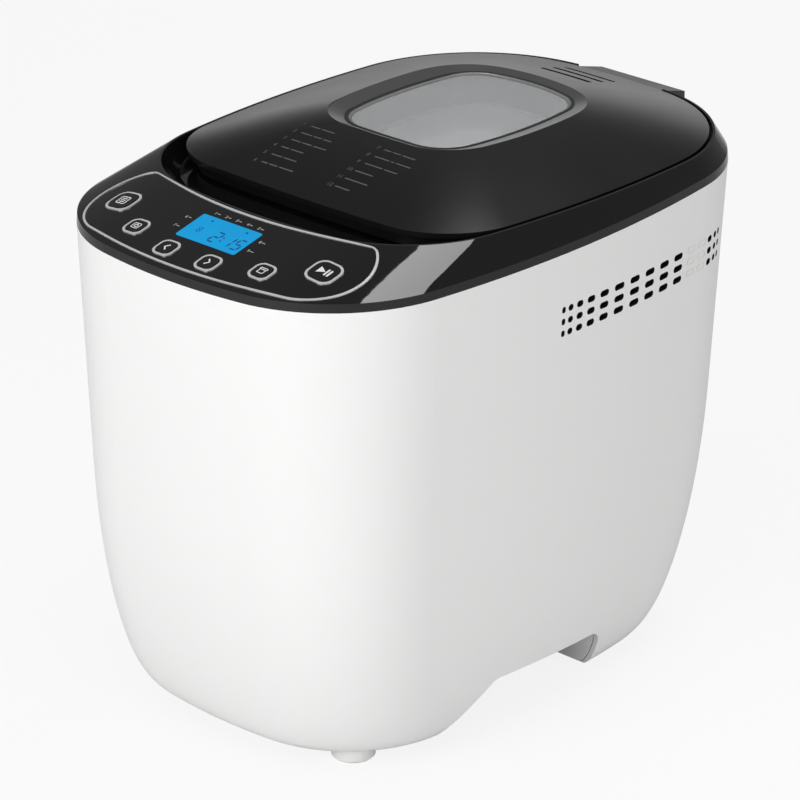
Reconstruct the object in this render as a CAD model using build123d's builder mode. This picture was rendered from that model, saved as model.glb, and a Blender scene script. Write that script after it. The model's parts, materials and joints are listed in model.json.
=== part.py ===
from build123d import *
import os
from dataclasses import dataclass
from math import atan2, cos, degrees, hypot, radians, sin, sqrt, tan

# Bread machine: a lidded oven with a lift-out pan, a belt drive under it and a sloping control panel.
# Millimetres. +Z up, -Y is the front, origin under the middle of the bounding box on the table.
# Depths below are measured from the middle of the casing's plan.

# Casing
BODY_W = 225.0
BODY_D = 315.8
RIM_Z = 242.4
RIM_TILT = 0.74
BODY_BOTTOM = 7.0
WALL = 2.6
FIT = 0.4
CORNER_TOP = 73.6
CORNER_BOTTOM = 61.2
SIDE_BOW = 537.0
END_BOW = 209.0
SIDE_TAPER = 0.0398
FRONT_TAPER = 0.040
BACK_TAPER = 0.069
SIDE_TUCK = 16.2
FRONT_TUCK = 21.6
BACK_TUCK = 30.7
TUCK_H = 113.0
BACK_TUCK_H = 127.6
TUCK_SECTIONS = 9
FIRST_STEP = 0.6

# Hand arch through the foot of both sides
ARCH_FRONT = -72.0
ARCH_BACK = 34.0
ARCH_TOP = 30.8
ARCH_FALL = 2.0
ARCH_SLOPE = 38.5
ARCH_ROUND = 8.0

# Side vents
VENT_ROWS = 3
VENT_TOP_Z = 214.2
VENT_PITCH = 5.9
VENT_H = 3.2
VENT_ROUND = 0.48
VENT_SHORT = 2.4
VENT_LONG = 7.1
VENT_STEP = 0.95
VENT_SPREAD = 1.65
VENT_START = -14.7
VENT_COUNT = 10
VENT_END = 111.0
VENT_END_COUNT = 3

# Base, feet and cord gland
BASE_T = 2.5
FOOT_X = 59.0
FOOT_FRONT_SETBACK = 57.9
FOOT_BACK_SETBACK = 79.9
FOOT_R = 10.5
FOOT_CHAMFER = 1.0
FOOT_PEG_R = 3.0
POST_X = 40.0
POST_FRONT_SETBACK = 45.9
POST_BACK_SETBACK = 63.9
POST_R = 5.0
POST_TOP = 46.0
SCREW_R = 1.5
SCREW_HEAD_R = 3.2
SCREW_HEAD_H = 1.8
GLAND_X = -45.0
GLAND_Z = 45.0
GLAND_R = 8.0
GLAND_BORE_R = 3.5
GLAND_SUNK = 15.4
GLAND_LENGTH = 21.0
GLAND_ROUND = 1.5

# Top frame: lip, sloping band, crest and the well that the lid sits in
LIP_H = 4.2
LIP_LEAN = 0.4
CREST_Z = 257.5
BAND_SIDE = 8.4
PANEL_DEPTH = 52.6
BAND_BACK = 2.6
CREST_SIDE_BOW = 587.0
CREST_FRONT_BOW = 305.0
CREST_BACK_BOW = 262.0
CREST_FRONT_CORNER = 61.5
CREST_BACK_CORNER = 80.0
CREST_WIDEST = 32.0
FRAME_WALL = 2.6
WELL_LIP = 1.2
TRAY_Z = 247.5
TRAY_T = 2.5
SCOOP = 14.0
SCOOP_TURN = 0.45
SCOOP_DRAFT = 0.4
SCOOP_CORNER = 2.0
TONGUE_H = 6.0
TONGUE_T = 2.0

# Control panel
DISPLAY_W = 37.6
DISPLAY_H = 19.2
DISPLAY_ROUND = 1.0
MODULE_RIM = 2.0
MODULE_INSET = 0.5
MODULE_STEP = 3.0
DISPLAY_SETBACK = 33.5
LENS_T = 1.5
TRIM_W = 1.15
TRIM_PROUD = 0.45
TRIM_HALF = 83.0
TRIM_FRONT = -30.6
TRIM_BACK = 18.4
TRIM_FRONT_CORNER = (64.0, -22.5)
TRIM_BACK_CORNER = (71.0, 29.0)
TRIM_ROUND = 7.0
OUTER_BUTTON = (64.4, 1.4)
MIDDLE_BUTTON = (40.4, -13.3)
INNER_BUTTON = (13.4, -20.4)
BIG_BUTTON = 12.5
SMALL_BUTTON = 8.8
BUTTON_ROUND = 0.34
BUTTON_GAP = 0.35
BUTTON_PROUD = 0.9
BUTTON_TRAVEL = 1.0
BEZEL_W = 1.1
BEZEL_PROUD = 0.6
BEZEL_DEPTH = 4.4
CAP_DEPTH = 7.0
FLANGE_T = 1.2
FLANGE_W = 1.0
STEM_R = 1.8
BOARD_DEPTH = 13.0
BOARD_T = 1.6
BOARD_W = 142.0
BOARD_H = 28.0
BOARD_Y = 2.0
BOARD_TAB_W = 94.0
BOARD_TAB_H = 14.0
BOARD_TAB_Y = -18.0
BOARD_POST_BACK = (30.0, 12.0)
BOARD_POST_FRONT = (26.0, -21.0)
SWITCH_SIZE = 6.0
BOARD_POST_R = 2.6

# Lid
LID_GAP = 1.5
LID_BACK_GAP = 2.3
LID_SETBACK = 29.0
LID_FRONT_BOW = 1200.0
LID_FRONT_CORNER = 43.0
LID_EDGE_Z = 258.0
LID_EDGE_T = 2.6
LID_RISE = 19.7
LID_RINGS = (1.0, 0.92, 0.82, 0.70, 0.57, 0.46)
LID_CENTRE = 32.0
LID_WALL = 2.8
SKIRT_INSET = 4.5
SKIRT_T = 2.2
SKIRT_Z = 249.0
WINDOW_HALF = 41.2
WINDOW_FRONT = -15.4
WINDOW_BACK = 89.8
WINDOW_SIDE_BOW = 207.0
WINDOW_FRONT_BOW = 700.0
WINDOW_BACK_BOW = 85.0
WINDOW_CORNER = 21.0
DISH_SIDE = 9.2
DISH_END = 5.6
DISH_Z = 272.9
GLASS_TOP = 270.6
GLASS_T = 3.0
GASKET_W = 1.6
GASKET_PROUD = 0.2
PAD_T = 5.2
PAD_MARGIN = 3.0
LEDGE = 3.4
WINDOW_WALL = 2.2
INNER_GLASS_T = 2.0
LINER_T = 1.2
LINER_Z = 251.0
SEAL_W = 4.0
SEAL_SET = 2.0
STEAM_LENGTH = 32.0
STEAM_W = 3.0
STEAM_SETBACK = 21.4
STEAM_PITCH = 9.05
STEAM_COUNT = 3
LID_SCREW_R = 1.5
LID_SCREW_L = 8.0
LID_SCREW_EDGE = 17.6
LID_SCREW_FRONT = (45.0, 20.3)
LID_SCREW_SPREAD = (-27.0, 31.0)
LID_BOSS_R = 3.6

# Hinge at the back of the lid
HINGE_OVERHANG = 13.1
HINGE_SET = 6.3
HINGE_Z = 246.0
HINGE_W = 54.0
HINGE_FRONT_Z = 257.0
HINGE_BACK_Z = 252.0
HINGE_FOOT_Z = 243.5
PIN_R = 2.0
RUN = 0.05
KNUCKLE_R = 4.5
POST_W = 31.0
NOTCH_Z = 249.5
HINGE_GAP = 0.5
HINGE_WALL = 1.9
HINGE_TOP_T = 2.6
HINGE_LIFT = 0.7
HINGE_HEEL = 2.7
HINGE_CHAMFER = 2.0
TANG_W = 40.0
TANG_LENGTH = 18.0
TANG_T = 2.6

# Oven chamber and heater
OVEN_Y = 37.0
OVEN_HALF_W = 76.0
OVEN_HALF_D = 74.0
OVEN_CORNER = 30.0
OVEN_FLOOR = 62.5
SHEET = 1.0
FLANGE = 12.0
SPACER_R = 4.0
SPACER_X = 36.0
SPACER_Y = 27.0
HEATER_R = 3.2
HEATER_Z = 88.0
HEATER_GAP = 4.0
HEATER_X = 16.0
HEATER_BEND = 6.0
HEATER_ROUND = 23.0
HEATER_TAIL = 9.0
BUSHING_R = 6.0
BUSHING_LENGTH = 8.0
SENSOR_X = 40.0
SENSOR_Z = 120.0
SENSOR_R = 3.0
SENSOR_REACH = 10.0
HEATER_CLIP_W = 8.0
HEATER_CLIP_H = 12.0

# Drive under the oven
BRACKET_Z = 48.0
BRACKET_T = 2.0
BRACKET_HALF_W = 46.0
BRACKET_FRONT = -118.0
BRACKET_BACK = 92.0
BRACKET_POST_X = 38.0
BRACKET_POST_FRONT = -96.0
BRACKET_POST_BACK = 82.0
BRACKET_UPSTAND = 42.0
BEARING_R = 11.0
BEARING_FLANGE_R = 18.0
BEARING_FLANGE_T = 3.0
SHAFT_R = 5.0
SHAFT_FOOT = 0.5
SHAFT_SEAT = 1.0
SHAFT_CLIP_W = 2.5
SHAFT_CLIP_T = 0.8
PULLEY_Z = 36.0
PULLEY_H = 10.0
DRIVE_PULLEY_R = 42.0
MOTOR_PULLEY_R = 10.0
PULLEY_FLANGE = 2.4
PULLEY_RIM = 1.0
PULLEY_HOLES = 5
PULLEY_HOLE_R = 10.08
PULLEY_HOLE_CIRCLE = 24.36
BELT_T = 2.0
BELT_GAP = 0.15
MOTOR_Y = -80.0
MOTOR_R = 34.0
MOTOR_H = 60.0
MOTOR_WALL = 3.0
MOTOR_SHAFT_R = 3.0
MOTOR_SHAFT_END = 4.0
MOTOR_SCREW = 20.0
ROTOR_R = 21.0
STATOR_R = 22.0
COUPLER_R = 20.0
COUPLER_Z = 64.2
COUPLER_T = 2.0
LUG_X = 13.0
LUG_W = 5.0
LUG_LENGTH = 12.0
LUG_H = 3.0

# Power board beside the motor
POWER_BOARD_W = 60.0
POWER_BOARD_H = 56.0
POWER_BOARD_Z = 30.0
STANDOFF_R = 3.0
STANDOFF_H = 5.0
STANDOFF_X = 14.0
STANDOFF_Z = (8.0, 32.0)
RELAY_AT = (-14.0, 40.0)
RELAY = (26.0, 24.0, 20.0)
CHOKE_AT = (16.0, 16.0)
CHOKE = (20.0, 16.0, 15.0)
CAPACITOR_AT = (16.0, 42.0)
CAPACITOR_R = 7.0
CAPACITOR_H = 18.0

# Bread pan
PAN_BASE_H = 12.0
PAN_Z = 76.0
PAN_RIM_Z = 197.0
PAN_HALF_W = 62.0
PAN_HALF_D = 59.0
PAN_CORNER = 28.0
PAN_DRAFT = 5.0
PAN_WALL = 1.6
PAN_ROLL = 3.0
SEAT_R = 40.0
SEAT_BORE = 34.0
SEAT_H = 10.0
SEAT_CHAMFER = 1.0
PAN_BASE_WALL = 6.0
PAN_SHAFT_R = 4.0
PAN_SHAFT_RISE = 4.0
BUSH_R = 9.0
BUSH_DROP = 4.0
BUSH_RISE = 2.0
BUSH_FLANGE = 4.0
BUSH_FLANGE_T = 1.5
EAR_W = 14.0
EAR_T = 2.0
BAIL_R = 2.5
BAIL_REACH = 45.0
BAIL_Z = 201.0
BAIL_X = 70.5
BAIL_BEND = 4.5
BAIL_STUB = 2.0
WING_GAP = 0.3
WING_W = 8.0
WING_LENGTH = 34.0
WING_T = 3.0
WING_HUB_R = 7.0
WING_HUB_H = 5.0
PADDLE_H = 18.0
PADDLE_REACH = 46.0
PADDLE_T = 4.0
PADDLE_HUB_R = 9.0
PADDLE_GAP = 2.4

# The plan's middle lies in front of the origin, because the hinge stands out behind the casing
BODY_Y = -HINGE_OVERHANG / 2

# Places that follow the casing's depth
FOOT_FRONT = FOOT_FRONT_SETBACK - BODY_D / 2
FOOT_BACK = BODY_D / 2 - FOOT_BACK_SETBACK
POST_FRONT = POST_FRONT_SETBACK - BODY_D / 2
POST_BACK = BODY_D / 2 - POST_BACK_SETBACK
HINGE_Y = BODY_D / 2 + HINGE_SET


@dataclass
class Outline:
    """Closed plan outline: bowed front, sides and back joined by four tangent corner arcs."""

    half_width: float
    front: float
    back: float
    side_bow: float
    front_bow: float
    back_bow: float
    front_corner: float
    back_corner: float
    widest: float

    def inset(self, distance):
        """The same outline moved inwards by a distance."""
        return Outline(
            self.half_width - distance,
            self.front + distance,
            self.back - distance,
            self.side_bow - distance,
            self.front_bow - distance,
            self.back_bow - distance,
            self.front_corner - distance,
            self.back_corner - distance,
            self.widest,
        )

    def scaled(self, factor, about):
        """The same outline scaled about a point on the centre line."""
        return Outline(
            self.half_width * factor,
            about + (self.front - about) * factor,
            about + (self.back - about) * factor,
            self.side_bow * factor,
            self.front_bow * factor,
            self.back_bow * factor,
            self.front_corner * factor,
            self.back_corner * factor,
            about + (self.widest - about) * factor,
        )

    def corner(self, end, bow, radius, way):
        """Start, middle and end of the right-hand corner arc at the front (way -1) or the back (way 1)."""
        side_x = self.half_width - self.side_bow
        end_y = end - way * bow
        across, up = -side_x, end_y - self.widest
        span = hypot(across, up)
        near, far = self.side_bow - radius, bow - radius
        along = (near**2 - far**2 + span**2) / (2 * span)
        off = way * sqrt(near**2 - along**2)
        x = side_x + (along * across - off * up) / span
        y = self.widest + (along * up + off * across) / span
        end_way = Vector(x, y - end_y).normalized()
        side_way = Vector(x - side_x, y - self.widest).normalized()
        centre = Vector(x, y)
        middle = (end_way + side_way).normalized()
        return [centre + way * radius for way in (end_way, middle, side_way)]

    def arcs(self):
        """The eight arcs in order, each as start, middle and end points."""
        f_end, f_mid, f_side = self.corner(self.front, self.front_bow, self.front_corner, -1)
        b_end, b_mid, b_side = self.corner(self.back, self.back_bow, self.back_corner, 1)
        right = [
            (f_end, f_mid, f_side),
            (f_side, Vector(self.half_width, self.widest), b_side),
            (b_side, b_mid, b_end),
        ]
        flip = [tuple(Vector(-p.X, p.Y) for p in reversed(arc)) for arc in reversed(right)]
        front = (flip[-1][2], Vector(0, self.front), f_end)
        back = (b_end, Vector(0, self.back), flip[0][0])
        return [front, *right, back, *flip]


def level(z):
    """Horizontal plane at a height, centred on the casing's plan."""
    return Plane((0, BODY_Y, z))


def oven_level(z):
    """Horizontal plane at a height, centred on the oven and its drive shaft."""
    return Plane((0, BODY_Y + OVEN_Y, z))


def upright(x=0):
    """Upright plane across the machine: its first axis runs to the back, its second up."""
    return Plane(origin=(x, BODY_Y, 0), x_dir=(0, 1, 0), z_dir=(1, 0, 0))


def outline_face(outline, mode=Mode.ADD):
    """Fills an outline in the sketch being drawn, or cuts it out."""
    with BuildLine() as edge:
        for start, middle, end in outline.arcs():
            ThreePointArc(start, middle, end)
    make_face(edge.edges(), mode=mode)


def prism(outline, bottom, top, mode=Mode.ADD):
    """Upright solid on an outline."""
    with BuildSketch(level(bottom)) as face:
        outline_face(outline)
    extrude(face.sketch, amount=top - bottom, mode=mode)


def discs(plane, points, radius, height, mode=Mode.ADD):
    """Round posts or holes at points of a plane, along its normal."""
    with BuildSketch(plane) as face:
        with Locations(*points):
            Circle(radius)
    extrude(face.sketch, amount=height, mode=mode)


def slab(plane, centre, width, depth, height, mode=Mode.ADD):
    """Rectangular block standing on a plane."""
    with BuildSketch(plane) as face:
        with Locations(centre):
            Rectangle(width, depth)
    extrude(face.sketch, amount=height, mode=mode)


def rounded(plane, width, depth, corner, height, mode=Mode.ADD):
    """Block with rounded corners standing on a plane."""
    with BuildSketch(plane) as face:
        RectangleRounded(width, depth, corner)
    extrude(face.sketch, amount=height, mode=mode)


def keep(piece, name):
    """Labels a finished piece and writes its file."""
    piece.part.label = name
    export_step(piece.part, f"parts/{name}.step")


def tuck(z, taper, reach, height):
    """How far a casing wall lies inside the rim at a height: a taper, then an elliptical tuck at the foot."""
    below = max(0.0, 1 - (z - BODY_BOTTOM) / height)
    return taper * (RIM_Z - z) + reach * (1 - sqrt(1 - below**2))


def casing(z):
    """Casing outline at a height."""
    corner = CORNER_TOP + (CORNER_BOTTOM - CORNER_TOP) * (RIM_Z - z) / (RIM_Z - BODY_BOTTOM)
    front = -BODY_D / 2 + tuck(z, FRONT_TAPER, FRONT_TUCK, TUCK_H)
    back = BODY_D / 2 - tuck(z, BACK_TAPER, BACK_TUCK, BACK_TUCK_H)
    bow = END_BOW + corner
    return Outline(
        BODY_W / 2 - tuck(z, SIDE_TAPER, SIDE_TUCK, TUCK_H),
        front,
        back,
        SIDE_BOW + corner,
        bow,
        bow,
        corner,
        corner,
        (front + back) / 2,
    )


RIM = casing(RIM_Z)
RIM_PLANE = Plane(
    origin=(0, BODY_Y, RIM_Z),
    x_dir=(1, 0, 0),
    z_dir=(0, -sin(radians(RIM_TILT)), cos(radians(RIM_TILT))),
)
CREST = Outline(
    BODY_W / 2 - BAND_SIDE,
    -BODY_D / 2 + PANEL_DEPTH,
    BODY_D / 2 - BAND_BACK,
    CREST_SIDE_BOW,
    CREST_FRONT_BOW,
    CREST_BACK_BOW,
    CREST_FRONT_CORNER,
    CREST_BACK_CORNER,
    CREST_WIDEST,
)
WELL = CREST.inset(WELL_LIP)
LID = Outline(
    WELL.half_width - LID_GAP,
    CREST.front + LID_SETBACK,
    WELL.back - LID_BACK_GAP,
    WELL.side_bow - LID_GAP,
    LID_FRONT_BOW,
    WELL.back_bow - LID_BACK_GAP,
    LID_FRONT_CORNER,
    WELL.back_corner - LID_BACK_GAP,
    CREST_WIDEST,
)
WINDOW_MIDDLE = (WINDOW_FRONT + WINDOW_BACK) / 2
WINDOW = Outline(
    WINDOW_HALF,
    WINDOW_FRONT,
    WINDOW_BACK,
    WINDOW_SIDE_BOW,
    WINDOW_FRONT_BOW,
    WINDOW_BACK_BOW,
    WINDOW_CORNER,
    WINDOW_CORNER,
    WINDOW_MIDDLE,
)
DISH = Outline(
    WINDOW_HALF + DISH_SIDE,
    WINDOW_FRONT - DISH_END,
    WINDOW_BACK + DISH_END,
    WINDOW_SIDE_BOW + DISH_SIDE,
    WINDOW_FRONT_BOW + DISH_END,
    WINDOW_BACK_BOW + DISH_END,
    WINDOW_CORNER + DISH_END,
    WINDOW_CORNER + DISH_END,
    WINDOW_MIDDLE,
)

# Panel plane: tangent to the sloping front of the top frame at the middle of the display
LIP_FRONT_Y = RIM.front + LIP_LEAN
LIP_FRONT_Z = RIM_Z + RIM.front * tan(radians(RIM_TILT)) + LIP_H
PANEL_TILT = atan2(CREST_Z - LIP_FRONT_Z, CREST.front - LIP_FRONT_Y)
DISPLAY_Y = RIM.front + DISPLAY_SETBACK
PANEL = Plane(
    origin=(0, BODY_Y + DISPLAY_Y, LIP_FRONT_Z + (DISPLAY_Y - LIP_FRONT_Y) * tan(PANEL_TILT)),
    x_dir=(1, 0, 0),
    z_dir=(0, -sin(PANEL_TILT), cos(PANEL_TILT)),
)
BUTTONS = [
    ("menu_button", -1, OUTER_BUTTON, BIG_BUTTON),
    ("colour_button", -1, MIDDLE_BUTTON, SMALL_BUTTON),
    ("minus_button", -1, INNER_BUTTON, SMALL_BUTTON),
    ("plus_button", 1, INNER_BUTTON, SMALL_BUTTON),
    ("weight_button", 1, MIDDLE_BUTTON, SMALL_BUTTON),
    ("start_button", 1, OUTER_BUTTON, BIG_BUTTON),
]
BOARD_POSTS = [(way * x, y) for x, y in (BOARD_POST_BACK, BOARD_POST_FRONT) for way in (1, -1)]

TUCK_STEP = BACK_TUCK_H / (TUCK_SECTIONS - 1 + FIRST_STEP)
CASING_STEPS = [BODY_BOTTOM]
CASING_STEPS += [BODY_BOTTOM + TUCK_STEP * (i + FIRST_STEP) for i in range(TUCK_SECTIONS)]


def casing_block(inset):
    """Solid of the casing's shape, inset from its outside: a tucked foot, then a taper to the tilted rim."""
    with BuildPart() as block:
        for z in CASING_STEPS:
            with BuildSketch(level(z)):
                outline_face(casing(z).inset(inset))
        loft()
        with BuildSketch(level(CASING_STEPS[-1])):
            outline_face(casing(CASING_STEPS[-1]).inset(inset))
        with BuildSketch(RIM_PLANE):
            outline_face(RIM.inset(inset))
        loft(ruled=True)
    return block.part


def frame_block(inset=0.0, drop=0.0):
    """Solid of the top frame's outside: an upright lip, then a band sloping in to the crest."""
    with BuildPart() as block:
        with BuildSketch(RIM_PLANE.offset(-drop)):
            outline_face(RIM.inset(inset))
        with BuildSketch(RIM_PLANE.offset(LIP_H - drop / 2)):
            outline_face(RIM.inset(LIP_LEAN + inset))
        with BuildSketch(level(CREST_Z - drop)):
            outline_face(CREST.inset(inset / 2))
        loft(ruled=True)
    return block.part


def dome(drop=0.0):
    """Solid of the lid's crown: outlines that shrink as they rise."""
    with BuildPart() as crown:
        for factor in LID_RINGS:
            with BuildSketch(level(LID_EDGE_Z - drop + LID_RISE * (1 - factor**2))):
                outline_face(LID.scaled(factor, LID_CENTRE))
        loft()
    return crown.part


def arch(grow, mode):
    """Hand arch through both sides, with a sloping front and a rounded roof."""
    slope = radians(ARCH_SLOPE)
    roof = ARCH_TOP + grow
    sunk = -BODY_BOTTOM - ARCH_TOP
    foot = ARCH_FRONT - grow / sin(slope)
    corners = [
        (foot + (sunk - BODY_BOTTOM) / tan(slope), sunk),
        (foot + (roof - BODY_BOTTOM) / tan(slope), roof),
        (ARCH_BACK + grow, roof - ARCH_FALL),
        (ARCH_BACK + grow, sunk),
    ]
    with BuildSketch(upright()) as face:
        with BuildLine():
            FilletPolyline(*corners, radius=ARCH_ROUND + grow, close=True)
        make_face()
    extrude(face.sketch, amount=BODY_W, both=True, mode=mode)


def vent_columns():
    """Depth and length of each column of side vents: they lengthen to the back, then end in a short group."""
    columns = []
    y, length = VENT_START, VENT_SHORT
    for _ in range(VENT_COUNT):
        columns.append((y, length))
        longer = min(VENT_LONG, length + VENT_STEP)
        y += (length + longer) / 2 * VENT_SPREAD
        length = longer
    y, length = VENT_END, VENT_SHORT
    for _ in range(VENT_END_COUNT):
        columns.append((y, length))
        y -= (2 * length + VENT_STEP) / 2 * VENT_SPREAD
        length += VENT_STEP
    return columns


def button_face(way, place, size):
    """Rounded square of a button on the panel."""
    with Locations((way * place[0], place[1])):
        RectangleRounded(size, size, size * BUTTON_ROUND)


os.makedirs("parts", exist_ok=True)
shell_core = casing_block(WALL)
frame_outside = frame_block()
screw_points = [(x, y) for x in (-POST_X, POST_X) for y in (POST_FRONT, POST_BACK)]
gland_plane = Plane(origin=(GLAND_X, BODY_Y, GLAND_Z), x_dir=(1, 0, 0), z_dir=(0, 1, 0))

# Casing: a tapered white shell, open above and below
with BuildPart() as outer_shell:
    add(casing_block(0))
    add(shell_core, mode=Mode.SUBTRACT)
    discs(level(BODY_BOTTOM + BASE_T), screw_points, POST_R, POST_TOP - BODY_BOTTOM - BASE_T)
    for x, y in screw_points:
        reach = BODY_D / 2 - abs(y)
        rib = (x, y + (reach / 2 if y > 0 else -reach / 2))
        slab(level(BODY_BOTTOM + BASE_T + POST_R), rib, WALL, reach, POST_TOP - BODY_BOTTOM - BASE_T - POST_R)
    add(casing_block(0), mode=Mode.INTERSECT)
    discs(level(BODY_BOTTOM), screw_points, SCREW_R + RUN, POST_TOP - BODY_BOTTOM - WALL, Mode.SUBTRACT)
    arch(0, Mode.SUBTRACT)
    with BuildSketch(upright()):
        for row in range(VENT_ROWS):
            for y, length in vent_columns():
                with Locations((y, VENT_TOP_Z - row * VENT_PITCH)):
                    RectangleRounded(length, VENT_H, min(length, VENT_H) * VENT_ROUND)
    extrude(amount=BODY_W, both=True, mode=Mode.SUBTRACT)
    with BuildSketch(gland_plane):
        Circle(GLAND_R + RUN)
    extrude(amount=BODY_D, mode=Mode.SUBTRACT)
keep(outer_shell, "outer_shell")

# Base plate: closes the casing and forms the roof of the hand arch
foot_points = [(x, y) for x in (-FOOT_X, FOOT_X) for y in (FOOT_FRONT, FOOT_BACK)]
bracket_posts = [
    (x, y) for x in (-BRACKET_POST_X, BRACKET_POST_X) for y in (BRACKET_POST_FRONT, BRACKET_POST_BACK)
]
with BuildPart() as base_plate:
    slab(level(BODY_BOTTOM), (0, 0), BODY_W, BODY_D, BASE_T)
    arch(BASE_T, Mode.ADD)
    arch(0, Mode.SUBTRACT)
    slab(level(-BODY_D), (0, 0), 2 * BODY_W, 2 * BODY_D, BODY_D + BODY_BOTTOM, Mode.SUBTRACT)
    add(casing_block(WALL + FIT), mode=Mode.INTERSECT)
    discs(level(BODY_BOTTOM), bracket_posts, POST_R, BRACKET_Z - BODY_BOTTOM)
    discs(level(BODY_BOTTOM), foot_points, FOOT_PEG_R + RUN, BASE_T, Mode.SUBTRACT)
    discs(level(BODY_BOTTOM), screw_points, SCREW_R + RUN, BASE_T, Mode.SUBTRACT)
    discs(level(BODY_BOTTOM), screw_points, SCREW_HEAD_R + FIT, SCREW_HEAD_H, Mode.SUBTRACT)
keep(base_plate, "base_plate")

with BuildPart() as feet:
    discs(level(0), foot_points, FOOT_R, BODY_BOTTOM)
    discs(level(BODY_BOTTOM), foot_points, FOOT_PEG_R, BASE_T)
    chamfer(feet.edges().group_by(Axis.Z)[0], FOOT_CHAMFER)
keep(feet, "feet")

with BuildPart() as base_screws:
    discs(level(BODY_BOTTOM + FIT), screw_points, SCREW_HEAD_R, SCREW_HEAD_H - FIT)
    discs(level(BODY_BOTTOM + SCREW_HEAD_H), screw_points, SCREW_R, POST_TOP / 2)
keep(base_screws, "base_screws")

with BuildPart() as cord_gland:
    with BuildSketch(gland_plane.offset(casing(GLAND_Z).back - GLAND_SUNK)):
        Circle(GLAND_R)
        Circle(GLAND_BORE_R, mode=Mode.SUBTRACT)
    extrude(amount=GLAND_LENGTH)
    fillet(cord_gland.edges().group_by(Axis.Y)[-1], GLAND_ROUND)
keep(cord_gland, "cord_gland")

# Top frame: gloss moulding with the sloping panel, the lid well with its finger scoop, and the hinge post
scoop_top = WELL
scoop_middle = Outline(
    WELL.half_width - SCOOP_DRAFT,
    WELL.front + SCOOP * SCOOP_TURN,
    WELL.back - SCOOP_DRAFT / 2,
    WELL.side_bow,
    WELL.front_bow,
    WELL.back_bow,
    WELL.front_corner - SCOOP_CORNER,
    WELL.back_corner,
    WELL.widest,
)
scoop_floor = Outline(
    WELL.half_width - 2 * SCOOP_DRAFT,
    WELL.front + SCOOP,
    WELL.back - SCOOP_DRAFT,
    WELL.side_bow,
    WELL.front_bow,
    WELL.back_bow,
    WELL.front_corner - 2 * SCOOP_CORNER,
    WELL.back_corner,
    WELL.widest,
)
hinge_axis = Plane(origin=(0, BODY_Y + HINGE_Y, HINGE_Z), x_dir=(0, 1, 0), z_dir=(1, 0, 0))
chamber_screws_at = [
    (x, OVEN_Y + y)
    for x in (-OVEN_HALF_W - FLANGE / 2, OVEN_HALF_W + FLANGE / 2)
    for y in (-OVEN_HALF_D + FLANGE, OVEN_HALF_D - FLANGE)
]
with BuildPart() as top_frame:
    add(frame_outside)
    add(frame_block(FRAME_WALL, FRAME_WALL), mode=Mode.SUBTRACT)
    prism(CREST.inset(FIT / 4), TRAY_Z - TRAY_T, CREST_Z)
    with BuildSketch(level(TRAY_Z)):
        outline_face(scoop_floor)
    with BuildSketch(level((TRAY_Z + CREST_Z) / 2 - 1)):
        outline_face(scoop_middle)
    with BuildSketch(level(CREST_Z)):
        outline_face(scoop_top)
    loft(mode=Mode.SUBTRACT)
    rounded(
        oven_level(TRAY_Z - TRAY_T),
        2 * OVEN_HALF_W,
        2 * OVEN_HALF_D,
        OVEN_CORNER,
        TRAY_T,
        Mode.SUBTRACT,
    )
    discs(level(TRAY_Z - TRAY_T), chamber_screws_at, SCREW_R + RUN, TRAY_T, Mode.SUBTRACT)
    discs(level(TRAY_Z - SCREW_HEAD_H), chamber_screws_at, SCREW_HEAD_R + RUN, SCREW_HEAD_H, Mode.SUBTRACT)
    with BuildSketch(RIM_PLANE.offset(FRAME_WALL)):
        outline_face(RIM.inset(WALL + FIT))
        outline_face(RIM.inset(WALL + FIT + TONGUE_T), Mode.SUBTRACT)
    extrude(amount=-TONGUE_H - FRAME_WALL, taper=degrees(SIDE_TAPER))
    discs(PANEL.offset(-BOARD_DEPTH), BOARD_POSTS, BOARD_POST_R, BOARD_DEPTH - FRAME_WALL / 2)
    discs(PANEL.offset(-BOARD_DEPTH), BOARD_POSTS, SCREW_R, BOARD_DEPTH - 2 * FRAME_WALL, Mode.SUBTRACT)
    with BuildSketch(PANEL.offset(-BOARD_DEPTH / 2)):
        RectangleRounded(DISPLAY_W + FIT, DISPLAY_H + FIT, DISPLAY_ROUND + FIT / 2)
        for name, way, place, size in BUTTONS:
            button_face(way, place, size + 2 * (BUTTON_GAP + BEZEL_W + RUN))
    extrude(amount=BOARD_DEPTH, mode=Mode.SUBTRACT)
    slab(
        level(NOTCH_Z),
        (0, HINGE_Y - HINGE_OVERHANG / 2),
        HINGE_W + 2 * HINGE_GAP,
        2 * HINGE_OVERHANG,
        CREST_Z - NOTCH_Z + 1,
        Mode.SUBTRACT,
    )
    with BuildSketch(hinge_axis):
        Circle(KNUCKLE_R)
        with Locations((-(HINGE_Y - CREST.back) / 2, 1)):
            Rectangle(HINGE_Y - CREST.back, KNUCKLE_R - HINGE_GAP)
        Circle(PIN_R + RUN / 2, mode=Mode.SUBTRACT)
    extrude(amount=POST_W / 2, both=True)
keep(top_frame, "top_frame")

with BuildPart() as hinge_pin:
    with BuildSketch(hinge_axis):
        Circle(PIN_R)
    extrude(amount=HINGE_W / 2 - HINGE_WALL, both=True)
keep(hinge_pin, "hinge_pin")

# Control panel: trim loop, bezels, buttons, display and the board behind them
def proud(height):
    """The top frame's outside, lifted along the panel's normal."""
    return frame_outside.moved(Location(PANEL.z_dir * height))


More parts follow.
